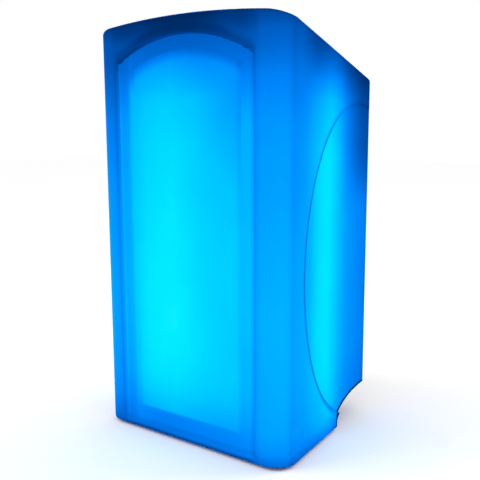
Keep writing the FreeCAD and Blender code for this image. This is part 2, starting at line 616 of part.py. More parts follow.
def woofer_dust_cap():
    steps = 10
    top = cone_height(CAP_R) + CAP_SKIN + CAP_RISE
    radius = (CAP_R ** 2 + CAP_RISE ** 2) / (2 * CAP_RISE)
    angles = [k / steps * math.asin(CAP_R / radius) for k in range(steps + 1)]
    arc = [(radius * math.sin(a), top - radius + radius * math.cos(a)) for a in angles]
    return turned(arc + [(r, y - CAP_SKIN) for r, y in reversed(arc)], (0, WOOFER_Z))


def half_roll(r0, r1, y, t, lip, steps=12):
    """A half-round rubber roll between two radii, bulging towards +Y, with flat lips to glue down."""
    middle, outer = (r0 + r1) / 2, (r1 - r0) / 2
    turns = [k * math.pi / steps for k in range(steps + 1)]
    over = [(middle - outer * math.cos(a), y + t + (outer - t) * math.sin(a)) for a in turns]
    under = [(middle - (outer - t) * math.cos(a), y + (outer - t) * math.sin(a)) for a in reversed(turns)]
    return [(r0 - lip, y), (r0 - lip, y + t)] + over + [(r1 + lip, y + t), (r1 + lip, y)] + under


def woofer_surround():
    profile = half_roll(CONE_R - 0.5, SURROUND_R - 4, SEAT + FLANGE_SEAT, 0.8, 3.0)
    return turned(profile, (0, WOOFER_Z))


def woofer_spider():
    """Corrugated suspension between the coil former and the basket."""
    start, waves, steps = FORMER_R + 0.1, 5, 40
    over = []
    for k in range(steps + 1):
        radius = start + (SPIDER_R - start) * k / steps
        over.append((radius, SPIDER_Y + SPIDER_WAVE * math.sin(2 * math.pi * waves * k / steps)))
    return turned(over + [(r, h + SPIDER_SKIN) for r, h in reversed(over)], (0, WOOFER_Z))


# ---------------------------------------------------------------- tweeter and handle
def horn_holes():
    x, z = HORN_WIDE / 2 - 5, HORN_HIGH / 2 - 5
    return [(sx * x, HORN_Z + sz * z) for sx in (-1, 1) for sz in (-1, 1)]


def oval_wire(a, b, y):
    return Part.Wire(Part.Ellipse(V(a, y, HORN_Z), V(0, y, HORN_Z + b), V(0, y, HORN_Z)).toShape())


def tweeter_horn():
    throat, bend, front = HORN_THROAT_Y, HORN_BEND_Y, SEAT + HORN_FLANGE
    flange = rounded_slab(HORN_WIDE / 2, HORN_Z - HORN_HIGH / 2, HORN_Z + HORN_HIGH / 2, SEAT, front, 6)
    outside = [oval_wire(17, 14.5, throat), oval_wire(26, 20, bend), oval_wire(51, 29, SEAT)]
    inside = [oval_wire(13, 12, throat - 0.1), oval_wire(23, 17, bend), oval_wire(52, 29.5, front + 0.1)]
    bell, mouth = Part.makeLoft(outside, True), Part.makeLoft(inside, True)
    body = flange.fuse(bell).cut(mouth)
    for x, z in horn_holes():
        body = body.cut(rod(SCREW_R + 0.1, (x, SEAT - 1, z), 8))
    return body


def tweeter_driver():
    y = HORN_THROAT_Y
    magnet, plate, nose = (rod(r, (0, y - back, HORN_Z), long) for r, back, long in DRIVER_STEPS)
    return fused([magnet, plate, nose]).cut(Part.makeSphere(14, V(0, y + 10, HORN_Z)))


def driver_screws():
    return group([pan_screw(x, SEAT + HORN_FLANGE, z, 12) for x, z in woofer_holes() + horn_holes()])


def handle_cup():
    """A tub let into the baffle, with a boss at each end that holds the bar."""
    t, y0 = CUP_WALL, SEAT - CUP_DEEP
    lip = rounded_slab(CUP_HALF + 8, CUP_LOW - 5, CUP_HIGH + 5, SEAT, SEAT + 2.5, 12)
    tub = rounded_slab(CUP_HALF, CUP_LOW, CUP_HIGH, y0, SEAT, 12)
    body = lip.fuse(tub).cut(rounded_slab(CUP_HALF - t, CUP_LOW + t, CUP_HIGH - t, y0 + t, SEAT + 5, 9))
    inside = rounded_slab(CUP_HALF - 1, CUP_LOW + 1, CUP_HIGH - 1, y0 + 1, SEAT + 1, 9)
    bosses = [rod(BAR_R + 2.5, (x, BAR_Y, BAR_Z), 8, X_AXIS) for x in (-CUP_HALF + 1, CUP_HALF - 9)]
    body = body.fuse(group(bosses).common(inside))
    body = body.cut(rod(BAR_R, (-CUP_HALF + 2, BAR_Y, BAR_Z), 2 * CUP_HALF - 4, X_AXIS))
    for x, z in handle_holes():
        body = body.cut(rod(SMALL_SCREW_R, (x, SEAT - 1, z), 8))
    return body


def handle_bar():
    return rod(BAR_R, (-CUP_HALF + 2, BAR_Y, BAR_Z), 2 * CUP_HALF - 4, X_AXIS)


def handle_holes():
    return [(s * (CUP_HALF + 4), z) for s in (-1, 1) for z in (CUP_LOW + 8, CUP_HIGH - 8)]


def handle_screws():
    return group([pan_screw(x, SEAT + 2.5, z, 7, SMALL_SCREW_R) for x, z in handle_holes()])


# ---------------------------------------------------------------- control panel
def panel_screw_places():
    heights = (PANEL_LOW + 5, (PANEL_LOW + PANEL_HIGH) / 2, PANEL_HIGH - 5)
    return [(s * (PANEL_X - 5), z) for s in (-1, 1) for z in heights]


def control_plate():
    plate = rounded_slab(PANEL_X, PANEL_LOW, PANEL_HIGH, SEAT, DECK, 5)
    for x, z, _ in KNOBS.values():
        plate = plate.cut(rod(3.6, (x, SEAT - 1, z), 5))
    for x in BUTTONS.values():
        plate = plate.cut(rod(BUTTON_R + 0.3, (x, SEAT - 1, BUTTON_Z), 5))
    plate = plate.cut(box(SWITCH_X - 10, SWITCH_X + 10, SEAT - 1, DECK + 1, SWITCH_Z - 14, SWITCH_Z + 14))
    for x in JACK_X:
        plate = plate.cut(rod(6.2, (x, SEAT - 1, SOCKET_Z), 5))
    for x, radius in ((AUX_X, 4.2), (CHARGE_X, 5.7)):
        plate = plate.cut(rod(radius, (x, SEAT - 1, SOCKET_Z), 5))
    plate = plate.cut(box(USB_X - 7.5, USB_X + 7.5, SEAT - 1, DECK + 1, SOCKET_Z - 4, SOCKET_Z + 4))
    plate = plate.cut(box(DISPLAY_LEFT, DISPLAY_RIGHT, SEAT - 1, DECK + 1, DISPLAY_LOW, DISPLAY_HIGH))
    for x, z in panel_screw_places():
        plate = plate.cut(rod(SMALL_SCREW_R + 0.1, (x, SEAT - 1, z), 5))
    return plate


def control_plate_screws():
    return group([pan_screw(x, DECK, z, 6, SMALL_SCREW_R) for x, z in panel_screw_places()])


def amplifier_board():
    board = box(-BOARD_HALF, BOARD_HALF, BOARD_Y - BOARD_THICK, BOARD_Y, BOARD_LOW, BOARD_HIGH)
    for x, z in standoff_places():
        board = board.cut(rod(1.6, (x, BOARD_Y - 5, z), 10))
    return board


def standoff_places():
    return [(s * (BOARD_HALF - 5), z) for s in (-1, 1) for z in (BOARD_LOW + 4, BOARD_HIGH - 6)]


def board_standoffs():
    return group([ring(3.2, 1.6, (x, BOARD_Y, z), SEAT - BOARD_Y) for x, z in standoff_places()])


def heat_sink():
    y1, fins, thick = BOARD_Y - BOARD_THICK, 10, 2.25
    right = SINK_LEFT + FIN_PITCH * (fins - 1) + thick
    base = box(SINK_LEFT, right, y1 - 5, y1, SINK_LOW, SINK_HIGH)
    for k in range(fins):
        x = SINK_LEFT + FIN_PITCH * k
        base = base.fuse(box(x, x + thick, BOARD_Y - FIN_REACH, y1 - 4, SINK_LOW, SINK_HIGH))
    return base.removeSplitter()


def potentiometers():
    made = []
    for x, z, _ in KNOBS.values():
        can = box(x - 8, x + 8, BOARD_Y, BOARD_Y + 9, z - 8, z + 8)
        bush = rod(3.5, (x, BOARD_Y + 9, z), SEAT + 1 - BOARD_Y - 9)
        made.append(can.fuse(bush).cut(rod(KNOB_SHAFT_R + 0.06, (x, BOARD_Y + 4, z), 40)))
    return group(made)


def knob(name):
    """A ribbed knob with its pointer groove, moulded on its shaft."""
    x, z, r = KNOBS[name]
    y0, y1 = DECK + 1.0, DEPTH - 0.5
    cap = Part.makeCone(r, r * 0.86, y1 - y0, V(x, y0, z), Y_AXIS)
    rim = [e for e in cap.Edges if abs(edge_middle(e).y - y1) < 0.01]
    cap = cap.makeFillet(1.0, rim)
    ribs = 18
    for k in range(ribs):
        a = 2 * math.pi * (k + 0.5) / ribs
        cap = cap.cut(rod(0.9, (x + r * math.cos(a), y0 + 1, z + r * math.sin(a)), y1 - y0 - 2))
    pointer = box(x - 0.6, x + 0.6, y1 - 0.6, y1 + 1, z + r * 0.3, z + r)
    return cap.cut(pointer).fuse(rod(KNOB_SHAFT_R, (x, BOARD_Y + 5, z), y0 + 1 - BOARD_Y - 5))


def push_button(name):
    x = BUTTONS[name]
    cap = rod(BUTTON_R, (x, SEAT - 1.2, BUTTON_Z), DECK + 2.6 - SEAT + 1.2)
    rim = [e for e in cap.Edges if abs(edge_middle(e).y - DECK - 2.6) < 0.01]
    cap = cap.makeFillet(0.9, rim)
    collar = rod(BUTTON_R + 1.6, (x, SEAT - 2.4, BUTTON_Z), 1.6)
    stem_start = BOARD_Y + 5 + BUTTON_TRAVEL + 0.4
    return fused([cap, collar, rod(1.8, (x, stem_start, BUTTON_Z), SEAT - 1 - stem_start)])


def button_switches():
    made = [box(x - 3, x + 3, BOARD_Y, BOARD_Y + 3.5, BUTTON_Z - 3, BUTTON_Z + 3).fuse(
        rod(1.7, (x, BOARD_Y + 3.5, BUTTON_Z), 1.5)) for x in BUTTONS.values()]
    return group(made)


def switch_housing():
    x, z = SWITCH_X, SWITCH_Z
    bezel = box(x - 12, x + 12, DECK, DECK + 1.6, z - 16, z + 16)
    body = box(x - 9.8, x + 9.8, DECK - 18, DECK, z - 13.8, z + 13.8)
    case = bezel.fuse(body).cut(box(x - 7, x + 7, DECK - 15, DECK + 2, z - 11.6, z + 11.6))
    return case.cut(rod(1.5, (x - 9, DECK - ROCKER_DROP, z), 18, X_AXIS))


def switch_rocker():
    """Rests tilted to off; its pins turn in the housing."""
    x, y, z = SWITCH_X, DECK - ROCKER_DROP, SWITCH_Z
    block = rod(11.0, (x - 6.5, y, z), 13, X_AXIS).common(box(x - 7, x + 7, y - 5, y + 6.2, z - 20, z + 20))
    dish = rod(26, (x - 8, y + 30.6, z), 16, X_AXIS)
    rocker = block.cut(dish).fuse(rod(1.4, (x - 8.6, y, z), 17.2, X_AXIS))
    rocker.rotate(V(x, y, z), X_AXIS, -ROCKER_TILT)
    return rocker


def mic_jacks():
    made = []
    for x in JACK_X:
        body = fused([box(x - 7.5, x + 7.5, SEAT - 24, SEAT - 0.5, SOCKET_Z - 7.5, SOCKET_Z + 7.5),
                      rod(6, (x, SEAT - 1, SOCKET_Z), 5.5), rod(8.5, (x, DECK, SOCKET_Z), 1.8)])
        made.append(body.cut(rod(JACK_R, (x, SEAT - 20, SOCKET_Z), 40)))
    return group(made)


def aux_jack():
    body = box(AUX_X - 5, AUX_X + 5, SEAT - 14, SEAT - 0.3, SOCKET_Z - 5, SOCKET_Z + 5).fuse(
        rod(4, (AUX_X, SEAT - 1, SOCKET_Z), 4.2))
    return body.cut(rod(AUX_R, (AUX_X, SEAT - 12, SOCKET_Z), 30))


def charge_socket():
    """Barrel socket with its centre pin."""
    body = rod(7.5, (CHARGE_X, DECK, SOCKET_Z), 1.6).fuse(rod(5.5, (CHARGE_X, DECK - 14, SOCKET_Z), 14))
    body = body.cut(rod(CHARGE_R, (CHARGE_X, DECK - 10, SOCKET_Z), 20))
    return body.fuse(rod(CHARGE_PIN_R, (CHARGE_X, DECK - 11, SOCKET_Z), 10))


def usb_socket():
    x, z = USB_X, SOCKET_Z
    sleeve = box(x - 7.2, x + 7.2, SEAT - 14, DECK + 0.4, z - 3.6, z + 3.6)
    mouth = box(x - 6.3, x + 6.3, SEAT - 12, DECK + 2, z - 2.6, z + 2.6)
    tongue = box(x - 5.6, x + 5.6, SEAT - 13, DECK - 1, z - 0.9, z + 0.9)
    return sleeve.cut(mouth).fuse(tongue)


def display_window():
    gap = 0.2
    x0, x1, z0, z1 = DISPLAY_LEFT + gap, DISPLAY_RIGHT - gap, DISPLAY_LOW + gap, DISPLAY_HIGH - gap
    return box(x0, x1, SEAT - 2, DECK + 0.3, z0, z1)


# ---------------------------------------------------------------- power and light
def battery_pack():
    return rounded_slab(BATTERY_HALF, BATTERY_LOW, BATTERY_HIGH, BATTERY_FRONT, BATTERY_BACK, 3)


def battery_bracket():
    """A folded steel cradle with a strap over the battery, its two arms footed on the baffle."""
    t, low, half, side = CRADLE_SHEET, CRADLE_LOW, CRADLE_HALF, CRADLE_SIDE
    y0, y1 = BATTERY_FRONT - 2, CABINET_DEPTH + GASKET
    strap_y, strap_z = (BATTERY_FRONT + 18, BATTERY_FRONT + 42), BATTERY_HIGH + 0.2
    shelf = box(-half, half, y0, y1 - 30, low, low + 3.8)
    shelf = shelf.cut(box(-side + 3.5, side - 3.5, BATTERY_BACK + 2, y1, low - 1, low + 5))
    front = box(-side, side, y0 - t, y0, low, low + 52)
    strap = box(-side, side, *strap_y, strap_z, strap_z + t)
    made = [shelf, front, strap]
    for x in (-side, side - t):
        made.append(box(x, x + t, y0, BATTERY_BACK + 4, low, low + 42))
        made.append(box(x, x + t, *strap_y, low, strap_z + t))
    for x in (-half, half - 2):
        made.append(box(x, x + 2, y1 - 47, y1, low, low + 16))
    for x in (-half - 2, half - 2):
        made.append(box(x, x + 4, y1 - t, y1, low + 4, low + 16))
    return fused(made)


def led_mast():
    h = MAST_SIDE / 2
    column = box(MAST_X - h, MAST_X + h, MAST_Y - h, MAST_Y + h, MAST_LOW, MAST_HIGH)
    inner = h - 1.5
    column = column.cut(box(MAST_X - inner, MAST_X + inner, MAST_Y - inner, MAST_Y + inner, 0, 700))
    z0, outer = FLOOR + POLE_LONG + 4, h + 4
    plate = rod(29, (0, POLE_Y, z0), 3, Z_AXIS)
    pad = box(MAST_X - outer, MAST_X + outer, MAST_Y - outer, MAST_Y + outer, z0, z0 + 3)
    plug = box(MAST_X - h, MAST_X + h, MAST_Y - h, MAST_Y + h, z0 + 3, MAST_LOW + 1)
    return fused([column, plate, pad, plug])


def led_strips():
    """Four strips of surface-mount lamps, one on each face of the mast."""
    face_y, r = MAST_Y - MAST_SIDE / 2, LED_SIDE / 2
    strip = box(MAST_X - 5, MAST_X + 5, face_y - 1, face_y, MAST_LOW + 6, MAST_HIGH - 6)
    for n in range(13):
        z = MAST_LOW + 18 + LED_PITCH * n
        strip = strip.fuse(box(MAST_X - r, MAST_X + r, face_y - 2.6, face_y - 0.9, z - r, z + r))
    made = []
    for k in range(4):
        face = strip.copy()
        face.rotate(V(MAST_X, MAST_Y, 0), Z_AXIS, 90 * k)
        made.append(face)
    return group(made)


def led_controller():
    """Sealed box on the front of the battery cradle."""
    y1 = BATTERY_FRONT - 2 - CRADLE_SHEET
    return rounded_slab(CONTROLLER_HALF, CONTROLLER_LOW, CONTROLLER_HIGH, y1 - CONTROLLER_DEEP, y1, 2)


def wiring_harness():
    """Leads from the amplifier to the drivers and the battery, and from the controller to the mast."""
    board = BOARD_Y - BOARD_THICK - 1.6
    woofer = [(-79, board, 190), (-81, 312, 194), (-84, 297, 221), (-76, 289, 260), (-58.4, 287.3, 303)]
    horn = [(84, board, 190), (93, 306, 214), (98, 296, 290), (98, 295, 370), (68, 294.5, 442),
            (34.6, 295, 470)]
    battery = [(60, 286.2, 170), (60.5, 296, 170.5), (66, 314, 179), (69, board, 183)]
    light = [(-18, 200, 127), (-17.5, 188, 127), (-18.5, 173, 116), (-18, 165.4, 113.5)]
    runs = ((woofer, 1.8), (horn, 1.6), (battery, 2.0), (light, 1.8))
    return group([tube(points, radius) for points, radius in runs])


# ---------------------------------------------------------------- build
def main():
    os.makedirs("parts", exist_ok=True)
    plain = [
        shell, shell_inserts, front_feet, base_screws, pole_socket, wheel_brackets, wheel_axles,
        baffle, baffle_gasket, baffle_screws, grille, grille_screws,
        woofer_basket, woofer_top_plate, woofer_magnet, woofer_pole_piece, voice_coil,
        woofer_cone, woofer_dust_cap, woofer_surround, woofer_spider,
        tweeter_horn, tweeter_driver, driver_screws, handle_cup, handle_bar, handle_screws,
        control_plate, control_plate_screws, amplifier_board, board_standoffs, heat_sink, potentiometers,
        button_switches, switch_housing, switch_rocker, mic_jacks, aux_jack, charge_socket, usb_socket,
        display_window, battery_pack, battery_bracket, led_mast, led_strips, led_controller, wiring_harness]
    for make in plain:
        save(make.__name__, make())
    for name in KNOBS:
        save(name, knob(name))
    for name in BUTTONS:
        save(name, push_button(name))
    for label, side in (("left", -1), ("right", 1)):
        save("wheel_hub_" + label, wheel_hub(side))
        save("tyre_" + label, tyre(side))


main()
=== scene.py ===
import math
import bpy
import bmesh
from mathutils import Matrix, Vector
from mathutils.geometry import delaunay_2d_cdt


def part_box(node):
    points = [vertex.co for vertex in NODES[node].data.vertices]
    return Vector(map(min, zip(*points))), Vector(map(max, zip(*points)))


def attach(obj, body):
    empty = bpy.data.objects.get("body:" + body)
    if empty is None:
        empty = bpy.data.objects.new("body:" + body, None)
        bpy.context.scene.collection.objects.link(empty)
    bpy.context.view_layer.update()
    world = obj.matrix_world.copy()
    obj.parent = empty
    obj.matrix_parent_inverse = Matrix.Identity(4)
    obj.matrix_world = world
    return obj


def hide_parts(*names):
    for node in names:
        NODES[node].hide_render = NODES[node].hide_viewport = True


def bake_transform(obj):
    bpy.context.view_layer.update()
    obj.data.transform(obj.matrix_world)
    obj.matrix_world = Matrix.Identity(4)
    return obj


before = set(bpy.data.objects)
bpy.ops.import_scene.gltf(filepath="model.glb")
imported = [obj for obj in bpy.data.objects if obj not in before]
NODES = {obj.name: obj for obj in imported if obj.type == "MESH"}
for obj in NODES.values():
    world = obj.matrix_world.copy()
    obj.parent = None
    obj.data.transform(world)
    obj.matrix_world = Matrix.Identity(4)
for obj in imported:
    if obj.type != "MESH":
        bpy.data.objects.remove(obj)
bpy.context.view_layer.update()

FRONT_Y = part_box("shell")[0].y          # the cabinet's front face, in the row frame
TAU = 2 * math.pi


# ---------------------------------------------------------------- node helpers
def linear(byte):
    c = byte / 255
    return c / 12.92 if c <= 0.04045 else ((c + 0.055) / 1.055) ** 2.4


def rgb(r, g, b):
    return (linear(r), linear(g), linear(b), 1.0)


class Graph:
    """Short names for building a material's nodes."""

    def __init__(self, name):
        self.material = bpy.data.materials.new(name)
        self.material.use_nodes = True
        self.tree = self.material.node_tree
        self.shader = self.tree.nodes["Principled BSDF"]
        self.place = self.node("ShaderNodeTexCoord").outputs["Object"]

    def node(self, kind, **settings):
        made = self.tree.nodes.new(kind)
        for key, value in settings.items():
            setattr(made, key, value)
        return made

    def plug(self, value, socket):
        if hasattr(value, "is_linked"):
            self.tree.links.new(value, socket)
        else:
            socket.default_value = value

    def math(self, operation, a, b=0.0):
        n = self.node("ShaderNodeMath", operation=operation)
        for value, socket in zip((a, b), n.inputs):
            self.plug(value, socket)
        return n.outputs[0]

    def add(self, a, b):
        return self.math("ADD", a, b)

    def sub(self, a, b):
        return self.math("SUBTRACT", a, b)

    def mul(self, a, b):
        return self.math("MULTIPLY", a, b)

    def low(self, a, b):
        return self.math("MINIMUM", a, b)

    def high(self, a, b):
        return self.math("MAXIMUM", a, b)

    def split(self, vector):
        n = self.node("ShaderNodeSeparateXYZ")
        self.plug(vector, n.inputs[0])
        return n.outputs

    def step(self, value, start, end, low=0.0, high=1.0):
        """Smoothly from low at start to high at end."""
        n = self.node("ShaderNodeMapRange", interpolation_type="SMOOTHSTEP")
        for socket, v in zip(n.inputs, (value, start, end, low, high)):
            self.plug(v, socket)
        return n.outputs[0]

    def curve(self, value, points):
        """A number that follows (position, number) points; numbers lie between 0 and 1."""
        first, last = points[0][0], points[-1][0]
        ramp = self.node("ShaderNodeValToRGB")
        ramp.color_ramp.interpolation = "LINEAR"
        elements = ramp.color_ramp.elements
        while len(elements) < len(points):
            elements.new(0.5)
        for element, (position, number) in zip(elements, points):
            element.position = (position - first) / (last - first)
            element.color = (number, number, number, 1)
        n = self.node("ShaderNodeMapRange")
        for socket, v in zip(n.inputs, (value, first, last, 0.0, 1.0)):
            self.plug(v, socket)
        self.plug(n.outputs[0], ramp.inputs[0])
        return ramp.outputs[0]

    def mix(self, factor, a, b):
        n = self.node("ShaderNodeMix", data_type="RGBA")
        for value, socket in ((factor, n.inputs[0]), (a, n.inputs[6]), (b, n.inputs[7])):
            self.plug(value, socket)
        return n.outputs[2]

    def blend(self, factor, a, b):
        n = self.node("ShaderNodeMix", data_type="FLOAT")
        for value, socket in ((factor, n.inputs[0]), (a, n.inputs[2]), (b, n.inputs[3])):
            self.plug(value, socket)
        return n.outputs[0]

    def noise(self, scale, detail=4.0, rough=0.55, vector=None):
        n = self.node("ShaderNodeTexNoise")
        self.plug(vector or self.place, n.inputs["Vector"])
        n.inputs["Scale"].default_value = scale
        n.inputs["Detail"].default_value = detail
        n.inputs["Roughness"].default_value = rough
        return n.outputs["Fac"]

    def bump(self, height, strength, distance):
        n = self.node("ShaderNodeBump")
        n.inputs["Strength"].default_value = strength
        n.inputs["Distance"].default_value = distance
        self.plug(height, n.inputs["Height"])
        self.plug(n.outputs[0], self.shader.inputs["Normal"])

    def set(self, **values):
        for key, value in values.items():
            self.plug(value, self.shader.inputs[key.replace("_", " ")])


# ---------------------------------------------------------------- the lit cabinet
# Glow is painted light: the green level of the plastic as lit by the lamp mast inside, given as emission,
# 0 to 255, worked out in cabinet millimetres: x to the right, y back from the front face, z up; its darker
# places are painted shade.
GLOW_COLOURS = ((0, (0, 0, 0)), (20, (0, 12, 40)), (40, (0, 40, 97)), (57, (0, 57, 134)), (77, (0, 77, 166)),
                (93, (0, 93, 195)), (113, (0, 113, 224)), (130, (0, 130, 247)), (150, (0, 150, 253)),
                (180, (0, 181, 254)), (210, (0, 211, 253)), (235, (3, 236, 253)), (255, (60, 250, 255)))

# Fading with height: (mm, share of full glow).
FRAME_BY_HEIGHT = ((0, .48), (10, .64), (22, .77), (35, .84), (60, .915), (110, .965), (200, 1), (260, 1),
                   (350, .965), (450, .92), (500, .885), (540, .85), (570, .79), (600, .725), (640, .59),
                   (665, .525), (690, .37), (704, .24))
PANEL_BY_HEIGHT = ((16, .68), (35, .74), (50, .80), (80, .895), (110, .955), (150, .985), (200, 1), (300, 1),
                   (400, .965), (500, .925), (570, .86), (600, .765), (620, .69), (640, .60), (655, .52),
                   (675, .45))
BAND_BY_HEIGHT = ((16, .64), (22, .71), (35, .73), (60, .82), (110, .93), (200, 1), (300, 1), (400, .975),
                  (500, .93), (540, .88), (570, .79), (600, .685), (620, .61), (640, .56), (655, .53),
                  (675, .50))
SIDE_BY_HEIGHT = ((0, .44), (10, .58), (22, .71), (35, .82), (60, .90), (110, .97), (150, 1), (480, 1),
                  (540, .93), (570, .86), (600, .67), (620, .52), (640, .40), (665, .29))
LEFT_BY_HEIGHT = ((0, .95), (35, .90), (60, .94), (110, .98), (200, 1), (400, 1), (500, .95), (570, .88),
                  (600, .85), (630, .86), (665, .98), (704, .92))
BACK_BY_HEIGHT = ((40, .28), (200, .36), (450, .30), (600, .20))

# Fading across the front: (x in mm, level).
FIELD_ACROSS = ((-120, 208), (-105, 221), (-90, 230), (-60, 235), (-30, 235), (-10, 229), (15, 221),
                (35, 214), (60, 209), (90, 206), (104, 202), (109, 190), (120, 187))
BAND_ACROSS = ((-150, 168), (-138, 168), (-130, 175), (-122, 186), (-60, 178), (0, 178), (60, 182),
               (118, 187), (132, 189), (137, 176), (142, 160), (150, 158))

# Painted shade on the soft sill under the panel: its glow level by height, darker towards the foot.
SILL_SHADE_BY_HEIGHT = ((1, 50), (3.5, 57), (5.5, 63), (7, 70), (8.5, 80), (10, 92), (11.5, 108), (13, 122),
                  (15, 124))

# Glow level round the outside, by x + y: frame, corner, crease, and the side on to its back edge; the dip at
# the crease is painted shade.
FRAME_ROUND = ((140, 158), (152, 160), (160, 171), (200, 175), (213, 174), (221, 168), (227, 157),
               (233, 160), (242, 164), (262, 168), (276, 177), (292, 189), (304, 197), (316, 205),
               (328, 214), (340, 218), (352, 212), (369, 194), (385, 173), (401, 158), (417, 148),
               (449, 134), (470, 126), (486, 108))
SCOOP_ROUND = ((255, 166), (276, 180), (284, 189), (292, 202), (304, 216), (316, 223), (328, 227),
               (340, 226), (352, 214), (369, 194), (385, 173), (401, 158), (417, 148), (449, 135),
               (470, 128), (486, 116))

# Share of full glow on the roof and on the underside, by distance from the lamp mast.
ROOF_FROM_LIGHT = ((0, .50), (60, .44), (130, .33), (200, .23), (260, .17))
UNDER_FROM_LIGHT = ((0, .35), (120, .26), (240, .16))

# Painted shade and light: what each local effect takes from the glow, or adds to it, as a share.
LIP_SHADE = (0.09, 0.46)                 # painted shade round the scoop's crease: low at its middle, high at its back
REAR_TOP_SHADE = 0.37
OVER_ARCH_SHADE, ARCH_HALO_SHADE, ARCH_PAINTED_LIGHT = 0.42, 0.24, 0.16
TOP_RIGHT_SHADE, FIELD_ARCH_SHADE = 0.13, 0.17
RIM_SHADE, LEFT_WALL_LIGHT = 0.09, 0.07
EDGE_SHADOW_LEVEL = 0.03                       # painted shadow along the edge of the raised rear

SCOOP_CENTRE = (287.0, 293.0)
SCOOP_HALF = (219.0, 276.0)             # along the tapered side as seen by its y, and in height
PANEL_HALF, PANEL_FOOT = 146.0, 12.5
ARCH_R, ARCH_Z = 296.1, 374.4           # the panel's arch: its radius and the height of its centre
FIELD_ARCH_R, FIELD_ARCH_Z = 262.1, 382.4
UNDERCUT_FROM, UNDERCUT_CREST = 212.0, 330.0
UNDERCUT_LOW, UNDERCUT_HIGH = 12.0, 53.0
LIGHT_X, LIGHT_Y = -18.0, 152.0


def levels(points):
    return tuple((p, level / 255) for p, level in points)


